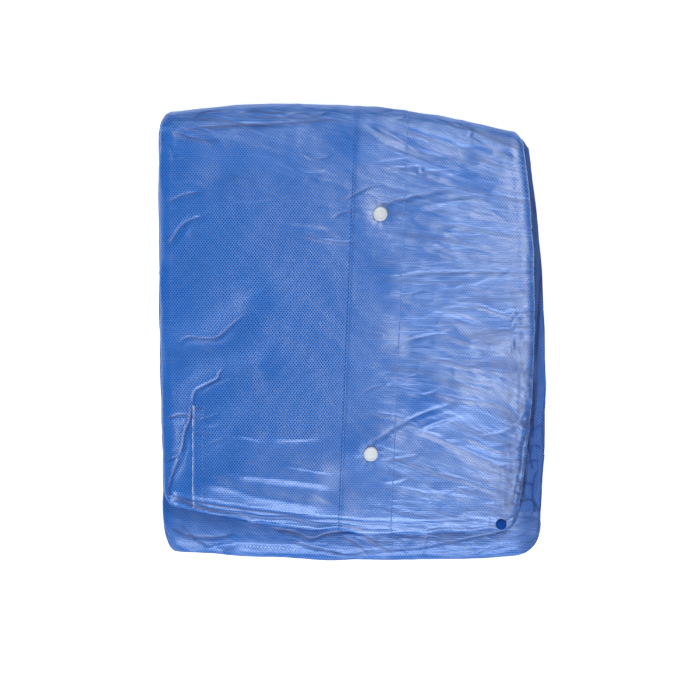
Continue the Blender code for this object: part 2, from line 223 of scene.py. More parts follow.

# Creases of the fronts, in millimetres: a path, the half width on its left and on its right, the
# rise (below zero for a trough), and the share of its length that it fades over at each end.
# A trough also gets a line of painted shade along it, a ridge a painted highlight
FRONT_CREASES = (
    # path, left, right, rise, fade
    (((-149, -13), (-140, -4), (-128, -5), (-114, -4), (-101, 7), (-86, 19)), 0.7, 1.8, -1.0, 0.25),
    (((-146, -15), (-137, -8), (-124, -8), (-112, -8), (-97, 2)), 1.9, 2.2, 0.5, 0.3),
    (((-107, -29), (-112, -35), (-114, -40), (-128, -47), (-133, -51), (-135, -63)), 0.8, 1.5, -1.0, 0.2),
    (((-100, -38), (-116, -44), (-131, -53)), 1.4, 1.8, 0.5, 0.3),
    (((-158, -73), (-145, -69.6), (-137, -71), (-133, -73)), 0.7, 1.2, -1.2, 0.15),
    (((-143, -73), (-139.6, -79), (-140, -84)), 0.7, 1.2, -1.0, 0.25),
    (((-135, -60), (-137, -75), (-141, -84), (-143, -96), (-146, -105)), 0.7, 1.4, -1.3, 0.15),
    (((-146, -105), (-150, -116), (-154, -127), (-155.5, -134), (-154.6, -141)), 0.7, 1.4, -1.4, 0.15),
    (((-158, -110), (-150, -105.6), (-145.6, -105)), 0.7, 1.1, -0.9, 0.2),
    (((-137, -84), (-139, -98), (-143, -110), (-150, -126)), 1.5, 2.5, 0.35, 0.3),
    (((-157, 172), (-146, 168), (-134, 164), (-110, 161)), 1.5, 2.5, -1, 0.3),
    (((-163, 109), (-152, 112), (-140, 117), (-122, 119)), 1.5, 3.1, -0.8, 0.35),
    (((-163, 66), (-152, 79), (-143, 91), (-128, 98), (-110, 101)), 1.7, 3.4, -0.9, 0.35),
    (((-156, 183), (-120, 180), (-85, 176), (-52, 173)), 1.4, 2.2, -1.1, 0.3),
    (((-120, 186), (-80, 182), (-30, 181), (10, 176)), 1.7, 1.9, -0.8, 0.3),
    (((22, 142), (35, 139), (57, 140), (62, 136), (88, 138)), 1, 2.1, -1.2, 0.25),
    (((8, 178), (37, 166), (61, 152), (91, 143)), 1.3, 2.6, -1.4, 0.3),
    (((24, 181), (60, 171), (98, 160), (132, 154)), 1.7, 2.2, 1.1, 0.35),
    (((5, 107), (31, 110), (52, 115), (91, 122), (106, 119)), 1.1, 2.4, -1.2, 0.3),
    (((36, 103), (60, 106), (92, 111), (124, 108)), 1.5, 2.2, 0.8, 0.4),
    (((60, 88), (86, 91), (118, 86), (146, 78)), 1.2, 2.2, -1, 0.3),
    (((48, 70), (72, 74), (98, 72), (136, 64)), 1.5, 2, 0.8, 0.4),
    (((31, 46), (57, 50), (85, 50), (121, 51), (144, 47)), 1.2, 2.4, -1.2, 0.3),
    (((97, 27), (109, 22), (126, 16), (145, 11)), 1.2, 1.9, -1.1, 0.3),
    (((62, 20), (88, 15), (116, 4)), 1.7, 2.2, 0.8, 0.4),
    (((20, -14), (43, -8), (64, -3), (78, -2), (97, -8), (119, -11)), 1.2, 2.4, -1.4, 0.3),
    (((46, -23), (73, -23), (97, -29), (132, -34), (150, -33)), 1.1, 2.2, -1.2, 0.3),
    (((70, -36), (98, -42), (126, -46)), 1.4, 1.9, 0.9, 0.4),
    (((60, -49), (88, -56), (121, -60), (133, -66), (144, -77)), 1.2, 2.4, -1.6, 0.25),
    (((92, -58), (61, -68), (37, -80), (25, -88), (9, -97)), 2.2, 1.2, -1.5, 0.3),
    (((96, -68), (70, -76), (48, -86)), 1.9, 1.4, 1, 0.4),
    (((49, -80), (73, -89), (91, -98), (121, -112), (144, -122)), 1.2, 2.5, -1.6, 0.25),
    (((84, -86), (110, -98), (140, -108)), 1.5, 2.1, 1.1, 0.4),
    (((22, -109), (43, -106), (64, -102)), 1, 1.9, -1, 0.3),
    (((60, -118), (92, -124), (128, -137)), 1.5, 2.2, -1, 0.35),
    (((20, -128), (52, -134), (96, -140), (124, -146)), 1.7, 2.5, -0.8, 0.4),
    (((-156, -144), (-148, -142), (-136, -146.7), (-119, -150.7), (-108, -149)), 0.7, 1.5, -1.5, 0.2),
    (((-157, -132), (-153, -138), (-145, -141), (-134, -143)), 0.7, 1.4, -1.1, 0.2),
    (((-155.5, -146), (-154, -151), (-149, -156)), 0.7, 1.3, -1.4, 0.25),
    (((-146, -150), (-132, -153), (-118, -156)), 0.7, 1.3, -1.2, 0.25),
    (((9, 178.5), (24, 168), (39, 161.5), (51, 153), (66, 149)), 1.0, 2.6, -1.2, 0.25),
    (((11, 177), (24, 171), (37, 164.5), (45, 158)), 0.7, 1.2, 0.9, 0.3),
    (((98, 178), (102, 170), (100, 165.7), (112, 160)), 0.7, 1.3, -1.0, 0.25),
    (((-10, 110.5), (3, 117), (15, 123), (30, 125)), 0.8, 1.6, -0.9, 0.3),
    (((-19, 96), (-6, 102), (9, 102)), 0.9, 1.8, -0.8, 0.3),
    (((-44, 152), (-30, 147), (-14, 150)), 0.8, 1.4, -0.6, 0.3),
    (((-52, 139), (-34, 136), (-20, 138)), 0.8, 1.6, 0.6, 0.3),
    (((-60, 92), (-40, 90), (-18, 86)), 0.9, 2.0, 0.6, 0.3),
    (((-50, 82), (-34, 80), (-10, 76), (14, 77)), 0.8, 1.6, -0.7, 0.3),
    (((2.6, 49), (34, 47), (77, 51), (130, 51), (158, 51)), 0.8, 1.8, -1.0, 0.25),
    (((-155, 170), (-120, 174), (-80, 176), (-40, 178), (-5, 181)), 1.4, 2.7, -1.5, 0.25),
    (((-138, 182), (-122, 188), (-104, 189)), 0.8, 1.5, -1.1, 0.3),
    (((-100, 184), (-84, 188), (-66, 186), (-48, 189)), 0.8, 1.4, -1.1, 0.3),
    (((-58, 182), (-44, 186), (-30, 184), (-16, 188)), 1, 1.4, -1, 0.3),
    (((20, 184), (34, 189), (52, 186), (66, 180)), 0.8, 1.4, -1.2, 0.3),
    (((64, 186), (76, 180), (92, 174), (110, 172)), 0.8, 1.6, -1.3, 0.3),
    (((90, 182), (104, 172), (124, 162), (140, 156)), 0.8, 1.7, -1.2, 0.3),
    (((-156, -136), (-140, -141), (-118, -146), (-80, -151), (-30, -156)), 1, 1.9, -1.3, 0.2),
)

# Low round folds at the near left, whose near sides catch the light as streaks
BROAD_FOLDS = (
    # path, left, right, rise, fade
    (((-116, -117), (-90, -120), (-44, -125), (-5, -131)), 8.0, 2.5, 2.2, 0.25),
    (((-137, -126), (-118, -128), (-100, -132), (-76, -139), (-50, -143), (-15, -148)), 5.0, 2.8, 2.2, 0.2),
    (((-66, -110.5), (-44, -114), (-20, -118), (-4, -118)), 3.5, 0.9, 0.9, 0.35),
    (((-104, -86), (-84, -89), (-70, -94)), 3.0, 0.9, 0.7, 0.4),
    (((-78, -88), (-48, -90), (-16, -87)), 3.5, 1.2, 0.8, 0.4),
)

# Gathers that run out from the snap at the hem: where each ends, its half widths and its rise
HEM_GATHERS = (
    # end x, end y, left, right, rise
    (144, -158, 0.7, 1.4, -0.9),
    (146, -163, 0.7, 1.2, -0.9),
    (143, -169, 0.8, 1.3, -0.8),
    (141, -152, 0.8, 1.5, -0.7),
    (112, -165, 0.8, 1.8, -0.5),
    (110, -160, 1.0, 1.8, -0.5),
    (120, -150, 1.0, 1.8, -0.4),
)

# Short creases across the right end of the top fold, where it is bunched
RIGHT_GATHERS = (
    # path, left, right, rise, fade
    (((150, -66), (144, -74), (148, -86)), 0.7, 1.6, -0.84, 0.2),
    (((147, -81), (145, -92), (142, -101), (143, -112)), 0.7, 1.8, -1.02, 0.2),
    (((139, -113), (143, -116), (150, -117)), 0.6, 1.4, -0.78, 0.25),
    (((138, -122), (144, -128), (148, -139)), 0.7, 1.7, -0.84, 0.25),
    (((136, -131), (142, -139), (144, -150)), 0.8, 1.6, -0.66, 0.25),
    (((152, -92), (147, -98), (141, -101)), 0.6, 1.3, -0.78, 0.25),
    (((150, -104), (144, -108), (136, -108)), 0.6, 1.3, -0.78, 0.25),
    (((156, -52), (150, -50), (142, -47)), 0.6, 1.4, -0.72, 0.25),
    (((156, -34), (149, -36), (138, -34)), 0.6, 1.4, -0.72, 0.25),
    (((157, -14), (150, -10), (142, -11)), 0.6, 1.4, -0.66, 0.25),
    (((157, 10), (150, 14), (140, 17)), 0.6, 1.4, -0.66, 0.25),
    (((157, 30), (149, 32), (138, 36)), 0.6, 1.4, -0.6, 0.25),
    (((156, 52), (149, 56), (138, 56)), 0.6, 1.4, -0.66, 0.25),
    (((155, 84), (148, 88), (137, 87)), 0.6, 1.4, -0.6, 0.25),
    (((130, -126), (138, -130), (146, -128)), 0.6, 1.3, -0.72, 0.25),
    (((132, -141), (139, -146), (148, -146)), 0.6, 1.3, -0.72, 0.25),
)

# Creases of the lower fold, which shows past the near end of the top one
# A trough also gets a line of painted shade along it, a ridge a painted highlight
SKIRT_CREASES = (
    # path, left, right, rise, fade
    (((-157, -164), (-146.5, -170), (-136, -173.8), (-116, -174.6), (-99.6, -171)), 0.7, 1.5, -1.4, 0.12),
    (((-150, -158), (-143, -166), (-131, -178), (-118, -184)), 0.7, 1.6, -0.9, 0.25),
    (((-150, -181), (-134, -185), (-112, -181), (-92, -178)), 0.8, 1.6, 0.7, 0.25),
    (((-108, -176), (-84, -179), (-60, -179.5), (-34, -180)), 1.4, 3.0, 0.9, 0.3),
    (((-71, -166.5), (-49, -170), (-35, -175.6), (-20, -171), (6, -168.4)), 0.7, 1.5, -1.5, 0.15),
    (((-53, -177.3), (-27.5, -184.5), (-6, -189)), 0.7, 1.3, -1.2, 0.2),
    (((-128, -182), (-110, -187), (-103, -191)), 1.4, 1, 0.7, 0.3),
    (((-27, -186), (-3, -189.5), (13, -187), (37, -186)), 0.8, 1.4, -0.9, 0.25),
    (((-8, -173), (4, -180), (16, -190)), 0.7, 1.4, -0.9, 0.25),
    (((4, -171), (14, -178), (20, -188)), 1.2, 1.2, 0.7, 0.25),
    (((14, -172), (24, -181), (38, -188)), 0.7, 1.5, -0.9, 0.25),
    (((28, -174), (40, -178), (48, -189)), 1.4, 1, 0.6, 0.3),
    (((63.5, -173), (62.3, -182), (62, -192)), 0.5, 0.9, -0.8, 0.1),
    (((26, -186), (44, -184), (62, -182.3), (75, -179.2), (86, -177.8)), 0.6, 1.2, -1.1, 0.2),
    (
        ((75, -179.2), (86, -177.8), (103, -174.3), (121.6, -170.7), (131.5, -168), (137, -170.7)),
        *(0.6, 1.2, -1.4, 0.1),
    ),
    (((64, -188), (96, -186), (122, -183)), 1, 1.7, -0.6, 0.3),
    (((92, -177), (98, -182), (109, -187)), 0.7, 1.2, -0.7, 0.25),
    (((99, -175), (106, -181), (113, -184)), 1, 0.8, 0.6, 0.3),
    (((104, -190), (118, -184), (134, -179)), 0.8, 1.7, -0.8, 0.25),
    (((137, -166.5), (144, -162), (154, -161)), 0.6, 1.2, -1.4, 0.15),
    (
        ((141, -182), (144, -178), (151, -178), (157, -173.6), (158.4, -165), (161, -157)),
        *(0.6, 1.2, -1.5, 0.12),
    ),
    (((132, -172), (140, -173), (149, -170)), 0.7, 1.2, -0.9, 0.2),
    (((128, -176), (136, -183), (142, -190)), 0.7, 1.4, -0.8, 0.25),
    (((142, -152), (150, -158), (160, -158)), 0.6, 1.3, -1.2, 0.2),
    (((-120, -192), (-108, -186), (-96, -181)), 0.8, 1.6, -0.7, 0.3),
)

# Creases of the ledge past the right end of the top fold, where the cloth is bunched
# A trough also gets a line of painted shade along it, a ridge a painted highlight
LEDGE_CREASES = (
    # path, left, right, rise, fade
    (((155, -40), (155, -57), (154.4, -69), (154, -80)), 0.6, 1.3, -1.6, 0.12),
    (((152, -70), (152.7, -76), (154, -80), (153, -90)), 0.7, 1.5, -1.8, 0.15),
    (((148.5, -80), (147.7, -88.6), (149.4, -91.4), (151, -104)), 0.7, 1.4, -1.8, 0.15),
    (((153, -96), (152, -108), (155, -118)), 0.6, 1.2, -1.4, 0.2),
    (((160, -117), (156, -121), (154, -131), (154, -141), (155.6, -148), (156, -158)), 0.7, 1.3, -2, 0.08),
    (((141, -143), (145.6, -143), (152.7, -142.4), (157.7, -148), (160.5, -154)), 0.7, 1.3, -2.0, 0.1),
    (((145.6, -118), (147, -125), (145.6, -137), (148.5, -142)), 0.6, 1.2, -1.6, 0.15),
    (((143, -130), (149, -128), (156, -131)), 0.6, 1.2, -1.3, 0.2),
    (((148, -112), (154, -109), (161, -110)), 0.6, 1.2, -1.2, 0.2),
    (((150, -98), (156, -96), (162, -99)), 0.6, 1.2, -1.1, 0.25),
    (((151, -84), (156, -82), (163, -78)), 0.6, 1.2, -1.1, 0.2),
    (((155, -30), (158, 0), (160, 30), (161.5, 62), (161.9, 79)), 0.7, 1.3, -1.3, 0.15),
    (((161.9, 62), (160, 90), (156.6, 102), (153, 115)), 0.6, 1.2, -1.3, 0.2),
)

# The plies that show on the ledge, as a stair of low steps whose edges waver
LEDGE_PLIES = 4.0
LEDGE_DROP = 0.0011
LEDGE_CRINKLES = 0.8
LEDGE_WAVES = (
    # share of the ledge, pace
    (0.06, 37.0),
    (0.04, 91.0),
)

# The plies in the rim: their pitch, the share of an arch that is taken off so that they go in as well
# as out, their depth with its steady share and the share that swings round the rim and with height,
# and how they drift up and down
PLY_PITCH = 0.0016
PLY_MEAN = 0.6
PLY_DEPTH = 0.00045
PLY_STEADY = 0.6
PLY_SWING = 0.5
PLY_SWING_PACES = (23.0, 700.0)
PLY_DRIFTS = (
    # height, pace
    (0.0006, 61.0),
    (0.0004, 143.0),
)

# How whole folds stand in and out along the sides, each one's height and how much it is out of step
# with the one below, and the heights between which plies and folds show, with their fades
FOLD_WAVER = 0.0009
FOLD_WAVER_PACE = 42.0
FOLD_HEIGHT = 0.0046
FOLD_SHIFT = 2.2
PLIES_TOP = 0.0130
PLIES_TOP_FADE = 0.0015
PLIES_FOOT = 0.0004
PLIES_FOOT_FADE = 0.0010

# The underside: the foot of the rim drawn in by a share, and rings of the shoulders' frame at shares
# of its size, down to its middle. The rim itself stays above the floor by a little
UNDERSIDE_FOOT = 0.996
UNDERSIDE_RINGS = (0.94, 0.60, 0.25, 0.0)
FLOOR_GAP = 0.0002

# The UV's step from the last column round the rim to the first
CLOSING_STEP = 0.0021

# The skirt's turn: how far its ends taper, their least share, its ripples under the edge, its gap to
# the floor, how much of the crinkles it has, and the painted shade at its left end
SKIRT_TAPER = 0.010
SKIRT_LEAST = 0.25
SKIRT_RIPPLE = 0.0005
SKIRT_FLOOR_GAP = 0.0004
SKIRT_CRINKLES = 0.8
SKIRT_WAVES = 1.6
SKIRT_PAINTED_SHADE = 0.24
SKIRT_SHADE_X = -0.112
SKIRT_SHADE_WIDTH = 0.012

# Pressed lines that follow an edge of the top fold: the edge, from and to shares of its length, how
# far past the shoulder, half width and rise. A sunk line gets painted shade, a raised one a painted
# highlight
EDGE_LINES = (
    # edge, from, to, past, half width, rise
    ("near", 0.03, 0.66, 0.0134, 0.0009, 0.0016),
    ("near", 0.50, 1.02, 0.0132, 0.0010, 0.0012),
    ("near", -0.02, 0.60, 0.0095, 0.0018, -0.0010),
    ("near", 0.30, 0.98, 0.0060, 0.0016, -0.0006),
    ("right", 0.02, 0.34, 0.0080, 0.0010, -0.0007),
    ("left", 0.02, 0.22, 0.0060, 0.0014, -0.0003),
    ("left", 0.30, 1.00, 0.0090, 0.0018, 0.0006),
    ("far", 0.05, 0.95, 0.0240, 0.0030, 0.0008),
)
EDGE_LINE_FADE = 0.08
EDGE_LINE_WANDERS = (
    # share of the distance past the shoulder, pace, start for each metre past the shoulder
    (0.12, 17.0, 900.0),
    (0.08, 41.0, 0.0),
)

# Small wrinkles that are scattered over each part of the fronts
SCATTERED = (
    # count, from x, to x, from y, to y, least turn, most turn, least length, most length, most rise
    (70, 0.02, 0.15, -0.150, 0.175, -0.35, 0.25, 0.018, 0.055, 0.00070),
    (16, -0.155, -0.02, 0.110, 0.180, -0.35, 0.20, 0.020, 0.060, 0.00035),
    (14, -0.158, -0.110, -0.130, 0.100, -0.20, 1.10, 0.012, 0.035, 0.00040),
    (8, -0.110, 0.000, -0.150, -0.090, -0.20, 0.10, 0.030, 0.060, 0.00025),
    (26, -0.160, 0.150, 0.176, 0.215, -0.50, 0.50, 0.012, 0.045, 0.00050),
    (18, 0.135, 0.170, -0.150, 0.170, 1.00, 2.10, 0.012, 0.040, 0.00045),
    (14, -0.180, -0.150, -0.140, 0.170, 1.00, 2.10, 0.015, 0.040, 0.00040),
)
SEED = 7

# How round the bottom of a crease and of a broad fold is, as a share of the half width, and the
# steepest that a crease may be
CREASE_BEND = 0.22
FOLD_BEND = 2.0
STEEPEST = 0.68

# The low bank on a crease's wider side: its share of the height, its place and its width as shares
# of the wider half width
BANK_RISE = 0.32
BANK_PLACE = 1.8
BANK_WIDTH = 0.7

# The line of painted shade along a crease's bottom: its half width and the height that gives a full
# one, in millimetres, and the most painted highlight on the top of a ridge
LINE_HALF_WIDTH = 1.0
FULL_LINE = 1.3
PALEST_LINE = -0.6

# Where the sheen on the right starts and hides part of the painted shade lines, as x, a width and a share
SHEEN_X = 0.020
SHEEN_WIDTH = 0.010
SHEEN_HIDES = 0.60

# The mottled painted shade along the right end of the top fold, where the cloth is bunched: how far
# inside the shoulder it starts, where it ends up the front, with the widths of those changes, and its
# strength, mottle, cells and seed
RIGHT_END_SHADE_INSET = 0.010
RIGHT_END_SHADE_INSET_WIDTH = 0.003
RIGHT_END_SHADE_STOP_Y = 0.020
RIGHT_END_SHADE_STOP_WIDTH = 0.030
RIGHT_END_PAINTED_SHADE = 0.46
RIGHT_END_SHADE_MOTTLE = 0.50
RIGHT_END_SHADE_CELL = (0.0022, 0.0045)
RIGHT_END_SHADE_SEED = 61

# Fine crinkles, as long low ridges. Their slope, rise over run, at heights up the front
CRINKLE_SLOPES = (
    # y, slope
    (-0.190, -0.06),
    (-0.150, -0.16),
    (-0.105, -0.36),
    (-0.060, -0.28),
    (-0.015, 0.06),
    (0.050, 0.05),
    (0.100, -0.10),
    (0.150, -0.30),
    (0.190, -0.16),
)
CRINKLE_LAYERS = (
    # seed, length, width, rise
    (11, 0.050, 0.0105, 0.00075),
    (12, 0.027, 0.0052, 0.00045),
    (13, 0.015, 0.0030, 0.00025),
)

# The cloth's pull fans out from PULL_X, and noises drawn out along it lead by a share of y
PULL_X = 0.02
LEAD = 0.15

# How much the crinkles bend, over what length and width, the size of the patches that they come in,
# and the share of their height that is taken off, so that they don't lift the cloth
CRINKLE_BEND = 0.6
CRINKLE_BEND_SIZE = (0.031, 0.024)
CRINKLE_PATCH_SIZE = (0.050, 0.020)
CRINKLE_MEAN = 0.35

# Where the fine crinkles lie, with shares of their height: past a line across the coat, in spots, and
# a little everywhere
CRINKLED_SIDES = (
    # toward x, toward y, place, width, share
    (1.0, 0.0, 0.030, 0.013, 1.0),
    (0.0, 1.0, 0.163, 0.008, 0.75),
    (-1.0, 0.0, 0.150, 0.004, 0.5),
)
CRINKLED_SPOTS = (
    # x, y, half width, half length, share
    (-0.075, -0.138, 0.055, 0.016, 0.45),
    (-0.020, 0.100, 0.040, 0.060, 0.5),
)
CRINKLED_LEAST = 0.07

# The slight unevenness between the creases: a height, and for x and y a pace, a bend and its pace
SLOW_WAVES = (
    # height, along x, along y
    (0.00022, (96.0, 2.1, 31.0), (71.0, 1.7, 23.0)),
    (0.00007, (310.0, 3.0, 83.0), (270.0, 2.0, 61.0)),
)

# How many seeded values a noise has each way before it repeats
LATTICE = 97


def past_line(x, place, width):
    """0 before a place and 1 past it, eased as 1 / (1 + exp(-(x - place) / width))."""
    return 1.0 / (1.0 + np.exp(-(x - place) / width))


def bell(distance, width):
    """1 at no distance, and less away from it as exp(-(distance / width) squared)."""
    return np.exp(-((distance / width) ** 2))


def eased(share):
    """A share of 0 to 1 with a level start and end: 3 share^2 - 2 share^3."""
    return share * share * (3.0 - 2.0 * share)


def running_length(steps):
    """The length gone at each end of the steps, from 0."""
    return np.concatenate([[0.0], np.cumsum(steps)])


def sum_of_sines(lead, rows):
    """The sum over rows of height times sin(lead times pace)."""
    return sum(height * np.sin(lead * pace) for height, pace in rows)


def bowed_line(start, end, bow, share):
    """A straight line from start to end, with a parabola of height bow over its middle."""
    return start + (end - start) * share + 4.0 * bow * share * (1.0 - share)


def edge_fold(edge, share):
    """Where an edge's top fold reaches at a share of its length."""
    return bowed_line(edge[0], edge[1], edge[2], share)


def edge_step(edge, share):
    """How much further out the lower folds lie: a bowed line through the steps at start and end, whose
    bow makes it meet the middle one."""
    start, end, middle = edge[4:]
    return bowed_line(start, end, middle - (start + end) / 2.0, share)


def shoulder(edge, share, outward):
    """Where the cloth starts to turn down, inside the fold line."""
    return edge_fold(edge, share) - outward * edge[3]


def placket_left(share):
    """The placket's left edge at a share of the way from the near end to the far one."""
    return STITCH_NEAR_X + (STITCH_FAR_X - STITCH_NEAR_X) * share - STITCH_INSET


def across_share(x, t):
    """The share of the way from the left shoulder to the right one."""
    left = shoulder(LEFT_EDGE, t, -1.0)
    return (x - left) / (shoulder(RIGHT_EDGE, t, 1.0) - left)


def top_place(s, t):
    """Where shares of the way across and along are, seen from above."""
    left, right = shoulder(LEFT_EDGE, t, -1.0), shoulder(RIGHT_EDGE, t, 1.0)
    x = left + (right - left) * s
    near, far = shoulder(NEAR_EDGE, s, -1.0), shoulder(FAR_EDGE, s, 1.0)
    return x, near + (far - near) * t


def fold_rise(x, y):
    """The sum of the large folds, as in the solids: each falls off as exp(-d^2 / (2 half width^2)) with
    the distance d from its bowed line and past its ends."""
    rise = np.zeros_like(x)
    for x0, y0, x1, y1, bow, half_width, height in LARGE_FOLDS:
        length = math.hypot(x1 - x0, y1 - y0)
        ux, uy = (x1 - x0) / length, (y1 - y0) / length
        along = ((x - x0) * ux + (y - y0) * uy) / length
        inside = np.clip(along, 0.0, 1.0)
        aside = (y - y0) * ux - (x - x0) * uy - 4.0 * bow * inside * (1.0 - inside)
        past = (along - inside) * length
        rise += height * np.exp(-(aside**2 + past**2) / (2.0 * half_width**2))
    return rise


def top_height(x, y, s, t):
    """Height of the stack's top: a crown that falls with the fourth power of the way to each edge, and
    the large folds on it."""
    crown = (1.0 - (2.0 * s - 1.0) ** 4) * (1.0 - (2.0 * t - 1.0) ** 4)
    return STACK_TOP + CROWN * crown + fold_rise(x, y)


def turn_angle(share, across, down):
    """The angle round an oval half turn, at a share of the part that is covered, with an even pace along
    the cloth: small steps add up to the arc, and the angle is read off where the arc has that share."""
    angles = np.linspace(0.0, math.pi, 200)
    steps = np.hypot(across * np.cos(angles), down * np.sin(angles))
    arc = running_length((steps[1:] + steps[:-1]) / 2.0)
    return np.interp(share * TURN_SHARE, arc / arc[-1], angles)


def lip_section(share):
    """The near end's lip at a share of its cloth, with an even pace along it: shares of the turn and of
    the drop."""
    rows = smooth_curve(LIP, 8)
    arc = running_length(np.hypot(np.diff(rows[:, 0]) * NEAR_EDGE[3], np.diff(rows[:, 1]) * TOP_FOLD))
    return np.interp(share, arc / arc[-1], rows[:, 0]), np.interp(share, arc / arc[-1], rows[:, 1])


def past_edge(s, t, ex, ey):
    """Points of the fronts' form, from shares s and t of the top and signed shares ex and ey of the way
    round a side and round an end. The larger of the two is the share of the turn, and their ratio is
    the angle round the corner. A side turns as an oval, the far end as one down to the floor and the
    near end as the lip. Round a corner they blend by the angle's squared sine. Returns the points and
    the cloth's own x and y there."""
    x, y = top_place(s, t)
    top = top_height(x, y, s, t)
    sx, sy = np.where(ex < 0, -1.0, 1.0), np.where(ey < 0, -1.0, 1.0)
    ax, ay = np.abs(ex), np.abs(ey)
    larger, smaller = np.maximum(np.maximum(ax, ay), 1e-9), np.minimum(ax, ay)
    share = np.maximum(ax, ay)
    eighth = math.pi / 4.0 * smaller / larger
    angle = np.where(ax >= ay, eighth, math.pi / 2.0 - eighth)
    turn_x = np.where(sx < 0, LEFT_EDGE[3], RIGHT_EDGE[3])
    turn_y = np.where(sy < 0, NEAR_EDGE[3], FAR_EDGE[3])
    round_side = turn_angle(share, SIDE_TURN, TOP_FOLD / 2.0)
    round_far = turn_angle(share, FAR_EDGE[3], STACK_TOP / 2.0)
    at_far = np.where(sy > 0, np.sin(angle) ** 2, 0.0)
    fall_side, fall_far = (1.0 - np.cos(round_side)) / 2.0, (1.0 - np.cos(round_far)) / 2.0
    at_near = np.where(sy < 0, np.sin(angle) ** 2, 0.0)
    lip_out, lip_fall = lip_section(share)
    fall_side = fall_side * (1.0 - at_near) + lip_fall * at_near
    drop = fall_side * TOP_FOLD * (1.0 - at_far) + fall_far * STACK_TOP * at_far
    follow = np.clip(1.0 - fall_side * (1.0 - at_far) - fall_far * at_far, 0.0, 1.0)
    out_side = np.sin(round_side) * (1.0 - at_near) + lip_out * at_near
    out = out_side * (1.0 - at_far) + np.sin(round_far) * at_far
    points = np.empty(s.shape + (3,))
    points[..., 0] = x + sx * out * turn_x * np.cos(angle) * (share > 0)
    points[..., 1] = y + sy * out * turn_y * np.sin(angle) * (share > 0) + STACK_MIDDLE_Y
    points[..., 2] = STACK_TOP - drop + follow * (top - STACK_TOP)
    reach_y = np.where(sy < 0, NEAR_REACH, FAR_REACH)
    cloth_x = x + sx * SIDE_REACH * share * np.cos(angle) * (share > 0)
    cloth_y = y + sy * reach_y * share * np.sin(angle) * (share > 0) + STACK_MIDDLE_Y
    return points, cloth_x, cloth_y


def grid_normals(points):
    """A unit normal at each point of a grid, from its neighbours."""
    along_i = np.gradient(points, axis=0)
    along_j = np.gradient(points, axis=1)
    normals = np.cross(along_i, along_j)
    return normals / np.maximum(np.linalg.norm(normals, axis=-1, keepdims=True), 1e-12)


def facing_up(normals):
    """1 where cloth faces up, falling to 0 where it stands nearly upright."""
    return np.clip((normals[..., 2] - 0.1) / 0.5, 0.0, 1.0)


def smooth_curve(knots, steps):
    """A curve through rows of numbers: between each two rows a cubic, whose slope at a row is half the
    difference of the rows before and after it."""
    knots = np.array(knots, float)
    padded = np.concatenate([[2.0 * knots[0] - knots[1]], knots, [2.0 * knots[-1] - knots[-2]]])
    a, b, c, d = [padded[k : len(padded) - 3 + k, None] for k in range(4)]
    u = (np.arange(steps) / steps)[None, :, None]
    squares = (2.0 * a - 5.0 * b + 4.0 * c - d) * u**2
    cubes = (3.0 * b - a - 3.0 * c + d) * u**3
    curve = 0.5 * (2.0 * b + (c - a) * u + squares + cubes)
    return np.concatenate([curve.reshape(-1, knots.shape[1]), knots[-1:]])


def crease_shape(x, y, path, left, right, fade, bend):
    """One crease of height 1 and the thin line along its bottom that carries painted shade or painted
    highlight, with all lengths in one unit. Across the crease it falls off as exp(-distance / half
    width), rounded by bend at the bottom, with a low bank on its wider side, lower where the bend is
    rounder. The line falls off as a bell. Both fade out towards the crease's ends."""
    curve = smooth_curve(path, 5)
    widest = 4.0 * max(left, right)
    near = (x > curve[:, 0].min() - widest) & (x < curve[:, 0].max() + widest)
    near &= (y > curve[:, 1].min() - widest) & (y < curve[:, 1].max() + widest)
    shape, line = np.zeros_like(x), np.zeros_like(x)
    if not near.any():
        return shape, line
    px, py = x[near], y[near]
    best = np.full(px.shape, 1e9)
    side = np.zeros(px.shape)
    along = np.zeros(px.shape)
    lengths = np.linalg.norm(np.diff(curve, axis=0), axis=1)
    total, gone = lengths.sum(), 0.0
    for (x0, y0), (x1, y1), length in zip(curve[:-1], curve[1:], lengths):
        ux, uy = (x1 - x0) / length, (y1 - y0) / length
        step = np.clip((px - x0) * ux + (py - y0) * uy, 0.0, length)
        away_x, away_y = px - x0 - step * ux, py - y0 - step * uy
        distance = np.hypot(away_x, away_y)
        closer = distance < best
        best = np.where(closer, distance, best)
        side = np.where(closer, ux * away_y - uy * away_x, side)
        along = np.where(closer, (gone + step) / total, along)
        gone += length
    width = np.where(side > 0, left, right)
    across = np.exp(bend - np.sqrt((best / width) ** 2 + bend**2))
    wider = max(left, right)
    to_bank = side * (1.0 if left > right else -1.0) - BANK_PLACE * wider
    across -= BANK_RISE * CREASE_BEND / bend * np.exp(-np.abs(to_bank) / (BANK_WIDTH * wider))
    within = eased(np.clip(np.minimum(along, 1.0 - along) / fade, 0.0, 1.0))
    shape[near] = across * within
    line[near] = bell(best, LINE_HALF_WIDTH) * within
    return shape, line


